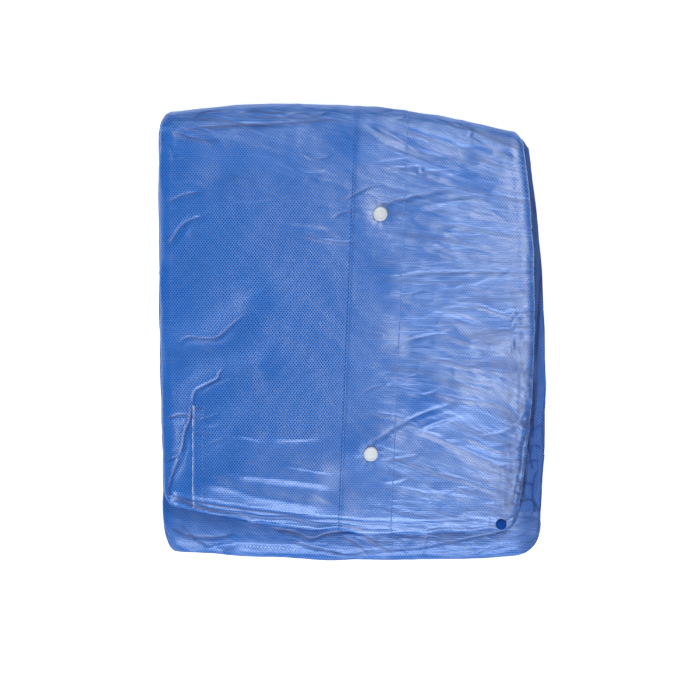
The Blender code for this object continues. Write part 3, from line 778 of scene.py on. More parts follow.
def scattered_wrinkles():
    """Rows of small creases, in millimetres: each has a seeded place, turn and length, its middle point
    a little aside, and a seeded height, twice as often below zero as above."""
    rng = np.random.default_rng(SEED)
    rows = []
    for count, x0, x1, y0, y1, turn0, turn1, short, long, most in SCATTERED:
        for _ in range(count):
            x, y = rng.uniform(x0, x1), rng.uniform(y0, y1)
            turn, length = rng.uniform(turn0, turn1), rng.uniform(short, long)
            bend = rng.uniform(-0.15, 0.15) * length
            dx, dy = math.cos(turn) * length / 2.0, math.sin(turn) * length / 2.0
            middle = (x - bend * math.sin(turn), y + bend * math.cos(turn))
            path = [(x - dx, y - dy), middle, (x + dx, y + dy)]
            rise = rng.uniform(0.35, 1.0) * most * rng.choice([-1.0, -1.0, 1.0])
            path = tuple((MM * a, MM * b) for a, b in path)
            rows.append((path, rng.uniform(0.7, 1.5), rng.uniform(1.0, 2.6), MM * rise, 0.4))
    return tuple(rows)


def line_strength(height):
    """How strong the painted shade on the bottom of a trough is, or below zero the painted highlight on
    the top of a ridge, by its height.
    """
    return min(max(-height / FULL_LINE, PALEST_LINE), 1.0)


def add_creases(x, y, rows, bend=CREASE_BEND):
    """The sum of creases given in millimetres at points given in metres: their rise and their lines of
    painted shade and painted highlight.
    None is steeper than STEEPEST, so that a narrow one is a line and not a wall."""
    rise, lines = np.zeros_like(x), np.zeros_like(x)
    for path, left, right, height, fade in rows:
        shape, line = crease_shape(MM * x, MM * y, path, left, right, fade, bend)
        steepest = STEEPEST * (1.0 + bend / 2.0) * min(left, right)
        rise += min(max(height, -steepest), steepest) / MM * shape
        lines += line_strength(height) * line
    return rise, lines


def edge_lines(s, t, ex, ey):
    """The pressed lines along the edges of the top fold, each a bell curve across that wanders by sums
    of sines along it: their rise and their lines of painted shade and painted highlight."""
    rise, lines = np.zeros_like(s), np.zeros_like(s)
    edges = {
        "near": (s, -ey * NEAR_REACH),
        "far": (s, ey * FAR_REACH),
        "left": (t, -ex * SIDE_REACH),
        "right": (t, ex * SIDE_REACH),
    }
    for edge, start, end, past, half_width, height in EDGE_LINES:
        along, away = edges[edge]
        wander = 0.0
        for share, pace, shift in EDGE_LINE_WANDERS:
            wander = wander + share * past * np.sin(along * pace + past * shift)
        fade = np.clip(np.minimum(along - start, end - along) / EDGE_LINE_FADE, 0.0, 1.0)
        aside = (away - past + wander) * (away > 0) + (away <= 0)
        rise += height * fade * bell(aside, half_width)
        lines += line_strength(MM * height) * fade * bell(MM * aside, LINE_HALF_WIDTH)
    return rise, lines


def gathers_at_hem():
    """Rows of straight creases from the hem's snap to their ends, in millimetres."""
    start = (MM * SNAP_HEM[0], MM * SNAP_HEM[1])
    return tuple(((start, (x, y)), left, right, rise, 0.45) for x, y, left, right, rise in HEM_GATHERS)


TOP_CREASES = FRONT_CREASES + RIGHT_GATHERS + gathers_at_hem() + scattered_wrinkles()


def lattice_noise(u, v, seed):
    """A smooth noise from -1 to 1: seeded values at whole numbers, eased between them."""
    table = np.random.default_rng(seed).uniform(-1.0, 1.0, (LATTICE, LATTICE))
    i, j = np.floor(u).astype(int), np.floor(v).astype(int)
    fu, fv = eased(u - i), eased(v - j)
    i, j, i_after, j_after = i % LATTICE, j % LATTICE, (i + 1) % LATTICE, (j + 1) % LATTICE
    low = table[i, j] * (1.0 - fu) + table[i_after, j] * fu
    high = table[i, j_after] * (1.0 - fu) + table[i_after, j_after] * fu
    return low * (1.0 - fv) + high * fv


def crinkles(x, y):
    """Sharp crests where a noise that is drawn out along the pull of the cloth passes zero: the cube of
    1 - |noise|, in layers of lessening size, each in patches."""
    heights = np.array(CRINKLE_SLOPES)
    slope = np.interp(y, heights[:, 0], heights[:, 1])
    lead = x + LEAD * y
    aside = y - slope * (x - PULL_X)
    rise = np.zeros_like(x)
    for seed, length, width, height in CRINKLE_LAYERS:
        bend = lattice_noise(lead / CRINKLE_BEND_SIZE[0], aside / CRINKLE_BEND_SIZE[1], seed + 20)
        crest = 1.0 - np.abs(lattice_noise(lead / length, aside / width + CRINKLE_BEND * bend, seed))
        patch = lattice_noise(lead / CRINKLE_PATCH_SIZE[0], aside / CRINKLE_PATCH_SIZE[1], seed + 40)
        rise += height * (crest**3 - CRINKLE_MEAN) * (0.5 + 0.5 * patch)
    return rise


def crinkle_share(x, y):
    """Where the fine crinkles lie: eased steps past lines on the right, at the far end and at the left
    rim, and bells at the near left and in the middle, added up to 1 at most."""
    share = CRINKLED_LEAST + np.zeros_like(x)
    for toward_x, toward_y, place, width, part in CRINKLED_SIDES:
        share += part * past_line(toward_x * x + toward_y * y, place, width)
    for spot_x, spot_y, half_width, half_length, part in CRINKLED_SPOTS:
        share += part * bell(x - spot_x, half_width) * bell(y - spot_y, half_length)
    return np.clip(share, 0.0, 1.0)


def slow_wave(x, y):
    """A slight unevenness of the cloth between its creases: sin(a x + b sin(c y)) times
    sin(d y + e sin(f x)), for two sets of paces."""
    rise = np.zeros_like(x)
    for height, (a, b, c), (d, e, f) in SLOW_WAVES:
        rise += height * np.sin(a * x + b * np.sin(c * y)) * np.sin(d * y + e * np.sin(f * x))
    return rise


def soften_on_right(lines, x):
    """Fainter painted shade lines on the right, where the sheen lies over them. The painted highlights
    stay.
    """
    return np.where(lines > 0.0, lines * (1.0 - SHEEN_HIDES * past_line(x, SHEEN_X, SHEEN_WIDTH)), lines)


def right_end_painted_shade(x, y, t):
    """Mottled painted shade along the right end of the top fold, where the cloth is bunched: a noise of
    small cells, past a line inside the right shoulder and up to a place on the front."""
    where = past_line(x - right_shoulder(t), -RIGHT_END_SHADE_INSET, RIGHT_END_SHADE_INSET_WIDTH)
    where = where * past_line(-y, -RIGHT_END_SHADE_STOP_Y, RIGHT_END_SHADE_STOP_WIDTH)
    mottle = lattice_noise(x / RIGHT_END_SHADE_CELL[0], y / RIGHT_END_SHADE_CELL[1], RIGHT_END_SHADE_SEED)
    return where * (RIGHT_END_PAINTED_SHADE + RIGHT_END_SHADE_MOTTLE * mottle)


def cloth_rise(s, t, ex, ey, x, y):
    """How far the fronts' cloth stands off its form, and the lines of painted shade and painted highlight
    in its creases, with the painted shade along the right end: the sums of the unevenness, the crinkles,
    the broad folds, the pressed lines and the creases."""
    rise = slow_wave(x, y) + crinkles(x, y) * crinkle_share(x, y)
    folds = add_creases(x, y, BROAD_FOLDS, FOLD_BEND)[0]
    pressed, pressed_lines = edge_lines(s, t, ex, ey)
    creased, crease_shade_and_highlight = add_creases(x, y, TOP_CREASES)
    # Lines of painted shade and painted highlight, and painted shade along the right end
    lines = soften_on_right(pressed_lines + crease_shade_and_highlight, x) + right_end_painted_shade(x, y, t)
    return rise + pressed + creased + folds, lines


def add_object(name, data):
    """An object in the scene for a mesh, a light or a camera."""
    obj = bpy.data.objects.new(name, data)
    bpy.context.scene.collection.objects.link(obj)
    return obj


def grid_object(name, points, uv, lines, closed_loop=False):
    """A mesh of a grid of points, shaded smooth, with a UV in metres of cloth and the creases' lines of
    painted shade and painted highlight. A closed loop joins its last column to its first, and its UV
    has one column more."""
    count_i, count_j = points.shape[:2]
    columns = count_i if closed_loop else count_i - 1
    i, j = np.meshgrid(np.arange(columns), np.arange(count_j - 1), indexing="ij")
    corners = ((0, 0), (1, 0), (1, 1), (0, 1))
    quads = np.stack([(i + di) % count_i * count_j + j + dj for di, dj in corners], axis=-1).reshape(-1, 4)
    uv_faces = np.stack([uv[i + di, j + dj] for di, dj in corners], axis=2)
    mesh = bpy.data.meshes.new(name)
    mesh.vertices.add(count_i * count_j)
    mesh.vertices.foreach_set("co", points.reshape(-1))
    mesh.loops.add(quads.size)
    mesh.loops.foreach_set("vertex_index", quads.reshape(-1).astype(np.int32))
    mesh.polygons.add(len(quads))
    mesh.polygons.foreach_set("loop_start", np.arange(0, quads.size, 4, dtype=np.int32))
    layer = mesh.uv_layers.new(name="cloth")
    mesh.update(calc_edges=True)
    layer.uv.foreach_set("vector", uv_faces.reshape(-1, 2).astype(np.float32).reshape(-1))
    attribute = mesh.attributes.new("crease_shade_and_highlight", "FLOAT", "POINT")
    attribute.data.foreach_set("value", np.clip(lines, -1.0, 1.0).astype(np.float32).reshape(-1))
    mesh.shade_smooth()
    return add_object(name, mesh)


def join_points(obj):
    """Makes one point of those that lie in one place, as in the middle of the underside."""
    shell = bmesh.new()
    shell.from_mesh(obj.data)
    bmesh.ops.remove_doubles(shell, verts=shell.verts, dist=1e-6)
    shell.to_mesh(obj.data)
    shell.free()


def shares(length, spacing=SPACING):
    """Evenly spaced shares over a length, with its ends."""
    return np.linspace(0.0, 1.0, max(2, int(round(length / spacing)) + 1))


def row_lines(near_reach, far_reach):
    """The rows of a panel: shares t of the top, and signed shares of the way round the ends."""
    round_near = -shares(NEAR_REACH * near_reach)[::-1] * near_reach
    along = shares(TOP_LENGTH)
    round_far = shares(FAR_REACH * far_reach) * far_reach
    t = np.concatenate([0.0 * round_near[:-1], along, 1.0 + 0.0 * round_far[1:]])
    ey = np.concatenate([round_near[:-1], 0.0 * along, round_far[1:]])
    return t, ey


def panel(lines, round_left, round_right, t, ey, inside):
    """A panel's grid between two upright lines, each a function of t, at shares of the way from one to
    the other, that may go on round the sides. Returns the form's points, the cloth's x and y, and what
    the creases need."""
    left_line, right_line = lines
    before = -shares(SIDE_REACH * round_left)[::-1] * round_left if round_left else np.zeros(1)
    after = shares(SIDE_REACH * round_right) * round_right if round_right else np.zeros(1)
    share = np.concatenate([0.0 * before[:-1], inside, 1.0 + 0.0 * after[1:]])
    ex = np.concatenate([before[:-1], 0.0 * inside, after[1:]])
    share, t = np.meshgrid(share, t, indexing="ij")
    ex, ey = np.meshgrid(ex, ey, indexing="ij")
    left = across_share(left_line(t), t)
    right = across_share(right_line(t), t)
    s = left + (right - left) * share
    points, x, y = past_edge(s, t, ex, ey)
    return points, x, y, (s, t, ex, ey)


def left_shoulder(t):
    """The left front's outer line on the top."""
    return shoulder(LEFT_EDGE, t, -1.0)


def right_shoulder(t):
    """The right front's outer line on the top."""
    return shoulder(RIGHT_EDGE, t, 1.0)


def make_front(name, lines, round_left, round_right, width, node):
    """One front: the form of its solid's outer side, moved out along its normals by its creases."""
    t, ey = row_lines(1.0, 1.0)
    points, x, y, place = panel(lines, round_left, round_right, t, ey, shares(width))
    normals = grid_normals(points)
    rise, lines = cloth_rise(*place, x, y)
    points = points + normals * (GAP + CLOTH + rise)[..., None]
    obj = grid_object(name, points, np.stack([x, y], axis=-1), lines)
    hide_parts(node)
    return obj, (points, normals)


def sewn_band(name, form, normals, stand, weave):
    """A band that is sewn on the fronts: its form moved out by the fronts' creases and by how far it
    stands off, which drops to RIM_LIFT at its rim and so gives it the side of its thickness."""
    points, x, y, place = form
    rise, lines = cloth_rise(*place, x, y)
    rim = np.zeros(points.shape[:2])
    rim[0], rim[-1] = 1.0, 1.0
    rim[:, 0], rim[:, -1] = 1.0, 1.0
    lift = GAP + CLOTH + rise + stand * (1.0 - rim) + RIM_LIFT * rim
    points = points + normals * lift[..., None]
    obj = grid_object(name, points, np.stack([x + weave[0], y + weave[1]], axis=-1), lines)
    return obj, (points, normals)


def round_snap(x, y, snap):
    """The dimple at a snap, a flat-bottomed bell, and the gathers round it: cosines of the angle on a
    ring that is a bell across."""
    snap_x, snap_y = snap
    away = np.hypot(x - snap_x, y - snap_y)
    spokes = np.cos(SPOKES * np.arctan2(y - snap_y, x - snap_x) + snap_y * SPOKE_TURN)
    dimple = DIMPLE * np.exp(-((away / DIMPLE_RADIUS) ** 4))
    return SPOKE_RISE * spokes * bell(away - SPOKE_RADIUS, SPOKE_WIDTH) - dimple


def make_placket():
    """The placket, on the fronts' surface. It stands proud all over, a little less along its stitches
    and much less at the snaps, and its free edge has a narrow last row for its thickness."""
    t, ey = row_lines(0.90, 0.92)
    lines = (placket_left, lambda t: placket_left(t) + PLACKET_WIDTH)
    share = np.insert(shares(PLACKET_WIDTH), -1, 1.0 - PLACKET_FREE_EDGE / PLACKET_WIDTH)
    form = panel(lines, 0.0, 0.0, t, ey, share)
    points, x, y = form[:3]
    stitch_away = share[:, None] * PLACKET_WIDTH - STITCH_INSET
    stand = PLACKET_STAND - STITCH_PINCH * bell(stitch_away, STITCH_PINCH_WIDTH)
    for snap in (SNAP_UPPER, SNAP_LOWER):
        stand = stand + round_snap(x, y, snap)
    obj, ground = sewn_band("placket_cloth", form, grid_normals(points), stand, PLACKET_WEAVE)
    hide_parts("placket")
    return obj, ground


def make_welt():
    """The hem of the pocket's opening: a narrow strip that stands off more and more towards its outer
    edge, where a bell across gives it its roll."""
    near, far = shoulder(NEAR_EDGE, WELT_SHARE, -1.0), shoulder(FAR_EDGE, WELT_SHARE, 1.0)
    top = (WELT_TOP_Y - near) / (far - near)
    round_near = -shares(NEAR_REACH * WELT_REACH, WELT_SPACING)[::-1] * WELT_REACH
    along = shares(top * (far - near), WELT_SPACING) * top
    t = np.concatenate([0.0 * round_near[:-1], along])
    ey = np.concatenate([round_near[:-1], 0.0 * along])
    lines = (lambda t: WELT_OUTER_X + 0.0 * t, lambda t: WELT_OUTER_X + WELT_WIDTH + 0.0 * t)
    share = shares(WELT_WIDTH, WELT_SPACING_ACROSS)
    form = panel(lines, 0.0, 0.0, t, ey, share)
    across = share[:, None] * WELT_WIDTH
    roll = WELT_ROLL * bell(across - WELT_ROLL_INSET, WELT_ROLL_WIDTH)
    stand = WELT_STAND + WELT_OPEN * (1.0 - across / WELT_WIDTH) + roll
    obj, _ = sewn_band("pocket_welt_cloth", form, grid_normals(form[0]), stand, WELT_WEAVE)
    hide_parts("pocket_welt")
    return obj


def perimeter(near_end_alone, step):
    """Places round the stack's rim: arrays of s, t, the signs of the side and the end, and the angle
    round a corner, 0 on a side and a quarter turn on an end. They run clockwise as seen from above, all
    round or along the near end alone."""
    quarter = math.pi / 2.0
    corner = np.linspace(0.0, quarter, CORNER_STEPS + 1)[1:-1]
    down = np.arange(0.0, TOP_LENGTH, step)[::-1] / TOP_LENGTH
    over = np.arange(0.0, TOP_WIDTH, step) / TOP_WIDTH
    if near_end_alone:
        stretches = (
            (0.0, 0.0, -1.0, -1.0, np.append(0.0, corner)),
            (over, 0.0, -1.0, -1.0, quarter),
            (1.0, 0.0, 1.0, -1.0, quarter - np.append(corner, quarter)),
        )
    else:
        stretches = (
            (0.0, down, -1.0, -1.0, 0.0),
            (0.0, 0.0, -1.0, -1.0, corner),
            (over, 0.0, -1.0, -1.0, quarter),
            (1.0, 0.0, 1.0, -1.0, quarter - corner),
            (1.0, down[::-1], 1.0, 1.0, 0.0),
            (1.0, 1.0, 1.0, 1.0, corner),
            (over[::-1], 1.0, 1.0, 1.0, quarter),
            (0.0, 1.0, -1.0, 1.0, quarter - corner),
        )
    parts = [np.broadcast_arrays(*stretch) for stretch in stretches]
    return [np.concatenate(columns)[::-1] for columns in zip(*parts)]


def section_rows(side_table, near_table, count):
    """Both sections as count rows each, on smooth curves through their tables. The rows are even steps
    of a length that adds both sections' moves, of which the height's count most, for the plies."""
    sections = smooth_curve(side_table, 24), smooth_curve(near_table, 24)
    pace = 0.0
    for rows in sections:
        turn, step, height = np.abs(np.diff(rows, axis=0)).T
        pace = pace + np.hypot(turn * TURN_PACE + step * STEP_PACE, height * HEIGHT_PACE)
    arc = running_length(pace)
    even = np.linspace(0.0, arc[-1], count)
    return [np.stack([np.interp(even, arc, column) for column in rows.T], axis=-1) for rows in sections]


def rim_points(place, near_rows, side_rows):
    """Points of the lower folds: each place round the rim has a section, which is the side's on a side,
    the near end's or one round turn down to the floor on an end, and between them round a corner, by
    the angle's squared sine. A section's point lies its turn and its step out from the shoulder, by the
    angle's cosine across and its sine along, squarer for the step."""
    s, t, sx, sy, angle = [column[:, None] for column in place]
    x, y = top_place(s, t)
    turn_x = np.where(sx < 0, LEFT_EDGE[3], RIGHT_EDGE[3])
    turn_y = np.where(sy < 0, NEAR_EDGE[3], FAR_EDGE[3])
    step_x = np.where(sx < 0, edge_step(LEFT_EDGE, t), edge_step(RIGHT_EDGE, t))
    step_y = np.where(sy < 0, edge_step(NEAR_EDGE, s), edge_step(FAR_EDGE, s))
    at_end = np.sin(angle) ** 2
    fallen = np.clip((SIDE_FOLDS[2][2] - side_rows[:, 2]) / SIDE_FOLDS[2][2], 0.0, 1.0)
    pace = FAR_EVEN * np.linspace(0.0, 1.0, len(side_rows)) + (1.0 - FAR_EVEN) * fallen
    rings = (FAR_START + (1.0 - FAR_START) * pace) * math.pi
    fall = (1.0 - np.cos(rings)) / 2.0
    far_rows = np.stack([np.sin(rings), 0.0 * rings, STACK_TOP * (1.0 - fall)], axis=-1)
    end = [np.where(sy > 0, far_rows[None, :, k], near_rows[None, :, k]) for k in range(3)]
    side = [side_rows[None, :, k] for k in range(3)]
    turn, step, height = [a * (1.0 - at_end) + b * at_end for a, b in zip(side, end)]
    cosine, sine = np.maximum(np.cos(angle), 0.0), np.maximum(np.sin(angle), 0.0)
    out_x = turn * turn_x * cosine + step * step_x * cosine**STEP_SQUARENESS
    out_y = turn * turn_y * sine + step * step_y * sine**STEP_SQUARENESS
    return np.stack([x + sx * out_x, y + sy * out_y + STACK_MIDDLE_Y, height + 0.0 * out_x], axis=-1)


def path_lengths(points, axis):
    """The length gone along one axis of a grid, from 0 at its start."""
    steps = np.linalg.norm(np.diff(points, axis=axis), axis=-1)
    start = np.zeros_like(np.take(steps, [0], axis=axis))
    return np.concatenate([start, np.cumsum(steps, axis=axis)], axis=axis)


def ledge_rise(points, normals, on_right, side_rows, lead):
    """The ledge on the right: its creases and crinkles, and the plies' stair, a sawtooth of the way out
    that wavers by sines of the way round. All fade where the cloth stops facing up."""
    x, y = points[..., 0], points[..., 1]
    where = facing_up(normals) * on_right
    rise, lines = add_creases(x, y, LEDGE_CREASES)
    rise = rise + LEDGE_CRINKLES * crinkles(y, x)
    terrace = np.clip(side_rows[None, :, 1] + sum_of_sines(lead, LEDGE_WAVES), 0.0, 1.0) * LEDGE_PLIES
    rise += LEDGE_DROP * (terrace - np.floor(terrace) - 0.5)
    return rise * where, lines * where


def ply_rise(height, side_share, lead):
    """The plies in the rim: |sin| of the height, one arch for each ply, whose rows drift and whose
    depth changes by sines of the way round. On the sides whole folds stand in and out as well."""
    ply = np.abs(np.sin(math.pi * (height + sum_of_sines(lead, PLY_DRIFTS)) / PLY_PITCH))
    swing = np.sin(lead * PLY_SWING_PACES[0] + height * PLY_SWING_PACES[1])
    depth = PLY_DEPTH * (PLY_STEADY + PLY_SWING * swing)
    shift = FOLD_SHIFT * np.floor(height / FOLD_HEIGHT)
    waver = FOLD_WAVER * np.sin(lead * FOLD_WAVER_PACE + shift) * side_share
    below = np.clip((PLIES_TOP - height) / PLIES_TOP_FADE, 0.0, 1.0)
    above = np.clip((height - PLIES_FOOT) / PLIES_FOOT_FADE, 0.0, 1.0)
    return (depth * (ply - PLY_MEAN) + waver * below * above) * below * above


def underside(place, points):
    """Columns that close the underside: the rim's foot on the floor, and the shoulders' frame, smaller
    and smaller down to one point in the middle."""
    x, y = top_place(place[0], place[1])
    frame_of_top = np.stack([x, y + STACK_MIDDLE_Y, 0.0 * x], axis=-1)[:, None]
    foot = points[:, -1:] * [UNDERSIDE_FOOT, UNDERSIDE_FOOT, 0.0]
    return [foot] + [frame_of_top * size for size in UNDERSIDE_RINGS]


def make_layers():
    """The lower folds and the underside: the rim's form with its plies, moved out along its normals,
    and closed flat below. Its UV is the length round the rim and down it, and x and y below."""
    side_rows, near_rows = section_rows(SIDE_FOLDS, NEAR_FOLDS, LAYERS_ROWS)
    place = perimeter(False, LAYERS_SPACING)
    points = rim_points(place, near_rows, side_rows)
    count_j = points.shape[1]
    lead = path_lengths(points[:, LAYERS_GIRTH_ROW, None], 0)
    down = path_lengths(points, 1)
    normals = grid_normals(np.concatenate([points, points[:1]]))[:-1]
    normals[0] = normals[-1]
    side_share = (np.cos(place[4]) ** 2)[:, None]
    on_right = (place[2] > 0)[:, None] * side_share
    rise, lines = ledge_rise(points, normals, on_right, side_rows, lead)
    rise += ply_rise(points[..., 2], side_share, lead)
    points = points + normals * rise[..., None]
    points[..., 2] = np.maximum(points[..., 2], FLOOR_GAP)
    inward = underside(place, points)
    points = np.concatenate([points] + inward, axis=1)
    lines = np.concatenate([lines, np.zeros((len(points), len(inward)))], axis=1)
    rim_uv = np.stack([np.repeat(lead, count_j, 1), down], axis=-1)
    below = np.stack([column[:, 0, :2] for column in inward], axis=1)
    uv = np.concatenate([rim_uv, below], axis=1)
    last = uv[:1] + [[lead[-1, 0] + CLOSING_STEP, 0.0]] * uv.shape[1]
    uv = np.concatenate([uv, last])
    uv[-1, count_j:] = uv[0, count_j:]
    obj = grid_object("layers_cloth", points, uv, lines, closed_loop=True)
    join_points(obj)
    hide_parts("folded_layers")
    return obj


def make_skirt():
    """The turn of the skirt at the near end: the lower folds' form there without its first and last
    rows, with its creases where it faces up, ripples under its edge and ends that taper."""
    side_rows, near_rows = section_rows(SIDE_FOLDS[1:-1], NEAR_FOLDS[1:-1], SKIRT_ROWS)
    points = rim_points(perimeter(True, SKIRT_SPACING), near_rows, side_rows)
    normals = grid_normals(points)
    x, y = points[..., 0], points[..., 1]
    around = path_lengths(points[:, SKIRT_GIRTH_ROW, None], 0)
    down = path_lengths(points, 1)
    top = facing_up(normals)
    rise, lines = add_creases(x, y, SKIRT_CREASES)
    rise = (rise + SKIRT_CRINKLES * crinkles(x, y)) * top + slow_wave(x, y) * SKIRT_WAVES
    # Painted shade lines in its creases, and painted shade towards its left end
    lines = soften_on_right(lines, x) + SKIRT_PAINTED_SHADE * past_line(-x, -SKIRT_SHADE_X, SKIRT_SHADE_WIDTH)
    ripple = np.sin(around * 71.0 + 90.0 * down) * np.sin(around * 23.0)
    rise += SKIRT_RIPPLE * (1.0 - top) * ripple
    from_end = np.minimum(around, around[-1] - around) / SKIRT_TAPER
    lift = (GAP + CLOTH) * np.clip(from_end, SKIRT_LEAST, 1.0)
    points = points + normals * (lift + rise)[..., None]
    points[..., 2] = np.maximum(points[..., 2], SKIRT_FLOOR_GAP)
    uv = np.stack([x + SKIRT_WEAVE, y - down * (1.0 - top)], axis=-1)
    obj = grid_object("skirt_cloth", points, uv, lines * top)
    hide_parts("skirt_fold")
    return obj


# The cloth's fabric: the pitch of its dots, its colours and its relief
BOND_ACROSS = 0.00236
BOND_ALONG = 0.00320
CLOTH_LIGHT = (0.020, 0.148, 0.510)
CLOTH_BASE = (0.010, 0.106, 0.410)
# The dots' dark blue, also used for the painted shade on the plies
DOT_AND_PAINTED_SHADE = (0.002, 0.022, 0.140)
# The painted shade and painted highlight blues, for crease lines, crests and streaks
PAINTED_SHADE_BLUE = (0.000, 0.024, 0.150)
PAINTED_HIGHLIGHT_BLUE = (0.170, 0.290, 0.640)
THREAD_DARK = (0.004, 0.018, 0.075)
WELT_WHITE = (0.50, 0.58, 0.70)
CLOTH_ROUGHNESS = 0.34
SHEEN_TINT = (0.62, 0.74, 1.0)
SHINE_TINT = (0.80, 0.90, 1.0)
BUMP_UNIT = 0.00014
BUMP_STRENGTH = 0.42

# How much each mark changes the cloth: its tone, its roughness or its relief. FINE is for the finest
# creases and their painted highlight, LONG for the long painted shades and painted highlights, LOW for
# the painted shade on the plies near the floor
DOT_DARK = 0.95
FINE_PAINTED_HIGHLIGHT = 0.36
FINE_PAINTED_HIGHLIGHT_MOST = 0.5
FINE_RELIEF = 1.7
LONG_PAINTED_SHADE = 0.34
LONG_PAINTED_HIGHLIGHT = 0.16
LONG_ROUGH = 0.10
HOLE_RELIEF = 1.6
SCATTER_ROUGH = 0.15
CREVICE_PAINTED_SHADE = 0.90
CREVICE_ROUGH = 0.20
RIDGE_PAINTED_HIGHLIGHT = 0.50
LOW_PAINTED_SHADE = 0.40
LOW_ROUGH = 0.32

# How the pull leans by a wave up the front, where the finest creases run along it
PULL_Y = 0.02
PULL_PACE = 25.1
PULL_SWING = 0.20
PULL_LEAN = -0.16
FINE_CREASES = (
    # width, length, share of the height
    (0.0045, 0.034, 1.0),
    (0.0026, 0.020, 0.6),
)

# Stitches: where the placket's line crosses its middle, and the hem's line on the lower fold
STITCH_MIDDLE_Y = 0.0140
HEM_START = (-0.0950, -0.1806)
HEM_END_X = -0.0440
HEM_SLOPE = -0.086
BAR_INSET = 0.0030


class Field:
    """A number that varies over a surface, with ordinary sums written on it: each adds a Math node, of
    the operation that it is named after."""

    def __init__(self, finish, output):
        self.finish = finish
        self.output = output

    def maths(self, operation, *values):
        node = self.finish.node("ShaderNodeMath", dict(enumerate(values)), operation=operation)
        return Field(self.finish, node.outputs[0])

    def __add__(self, other):
        return self.maths("ADD", self, other)

    def __sub__(self, other):
        return self.maths("SUBTRACT", self, other)

    def __rsub__(self, other):
        return self.maths("SUBTRACT", other, self)

    def __mul__(self, other):
        return self.maths("MULTIPLY", self, other)

    def __truediv__(self, other):
        return self.maths("DIVIDE", self, other)

    def __pow__(self, other):
        return self.maths("POWER", self, other)

    def __abs__(self):
        return self.maths("ABSOLUTE", self)

    __radd__ = __add__
    __rmul__ = __mul__

    def fraction(self):
        return self.maths("FRACT", self)

    def root(self):
        return self.maths("SQRT", self)

    def cosine(self):
        return self.maths("COSINE", self)

    def at_most(self, other):
        return self.maths("MINIMUM", self, other)

    def at_least(self, other):
        return self.maths("MAXIMUM", self, other)

    def rise_between(self, low, high):
        """0 below low, 1 above high, and smooth between them."""
        sockets = {"Value": self, "From Min": low, "From Max": high}
        node = self.finish.node("ShaderNodeMapRange", sockets, interpolation_type="SMOOTHSTEP")
        return Field(self.finish, node.outputs["Result"])


class Finish:
    """One material, and the method that adds its nodes."""

    def __init__(self, name):
        self.material = bpy.data.materials.new(name)
        self.material.use_nodes = True
        self.tree = self.material.node_tree
        self.shader = self.tree.nodes["Principled BSDF"]

    def node(self, kind, sockets, **settings):
        """A node of a type: its settings are set first, then each socket gets its value or its link."""
        node = self.tree.nodes.new(kind)
        for setting, value in settings.items():
            setattr(node, setting, value)
        for slot, value in sockets.items():
            self.feed(node.inputs[slot], value)
        return node

    def feed(self, socket, value):
        """Links a field or an output to a socket, or sets the socket's own value."""
        if isinstance(value, Field):
            self.tree.links.new(value.output, socket)
        elif isinstance(value, bpy.types.NodeSocket):
            self.tree.links.new(value, socket)
        elif isinstance(value, tuple) and socket.type == "RGBA":
            socket.default_value = value + (1.0,)
        else:
            socket.default_value = value

    def parts(self, vector):
        """The three numbers of a vector."""
        node = self.node("ShaderNodeSeparateXYZ", {0: vector})
        return [Field(self, output) for output in node.outputs]

    def noise(self, vector, scale, detail=2.0, roughness=0.5):
        """A noise from 0 to 1 about 0.5."""
        sockets = {"Vector": vector, "Scale": scale, "Detail": detail, "Roughness": roughness}
        return Field(self, self.node("ShaderNodeTexNoise", sockets).outputs["Fac"])

    def drawn_out_noise(self, across, along, width, length, detail=1.0):
        """A noise whose blobs are drawn out: width across and length along, in metres."""
        place = self.node("ShaderNodeCombineXYZ", {0: along / length, 1: across / width, 2: 0.0})
        return self.noise(place.outputs[0], 1.0, detail)

    def mix(self, share, first, second):
        """Between two colours by a share."""
        node = self.node("ShaderNodeMix", {0: share, 6: first, 7: second}, data_type="RGBA")
        return node.outputs[2]

    def constants(self, values):
        """Sets the shader's own sockets, by their names."""
        for name, value in values.items():
            self.feed(self.shader.inputs[name], value)

    def surface(self, colour, roughness, height, bump_unit, bump_strength):
        """Feeds the shader: a colour, a roughness and a height that becomes a bump."""
        self.feed(self.shader.inputs["Base Color"], colour)
        self.feed(self.shader.inputs["Roughness"], roughness)
        sockets = {"Height": height, "Distance": bump_unit, "Strength": bump_strength}
        self.feed(self.shader.inputs["Normal"], self.node("ShaderNodeBump", sockets).outputs["Normal"])


def bond_dots(finish, uv, u, v):
    """Staggered rows of small pressed dots: 1 in a dot, by the distance to the nearest point of two
    rectangular lattices, the second moved by half a pitch both ways."""
    wobble = finish.noise(uv, 420.0, 1.0) - 0.5
    across = (u + wobble * 0.00035) / BOND_ACROSS
    along = (v + wobble * 0.0003) / BOND_ALONG
    distances = []
    for shift in (0.0, 0.5):
        du = ((across + shift).fraction() - 0.5) * BOND_ACROSS
        dv = ((along + shift).fraction() - 0.5) * BOND_ALONG
        distances.append((du * du + dv * dv).root())
    return 1.0 - distances[0].at_most(distances[1]).rise_between(0.00042, 0.00086)


def aside_of_pull(u, v):
    """How far a place lies aside of the cloth's pull, which leans by a cosine up the front."""
    lean = ((v - PULL_Y) * PULL_PACE).cosine() * PULL_SWING + PULL_LEAN
    return v - lean * (u - PULL_X)


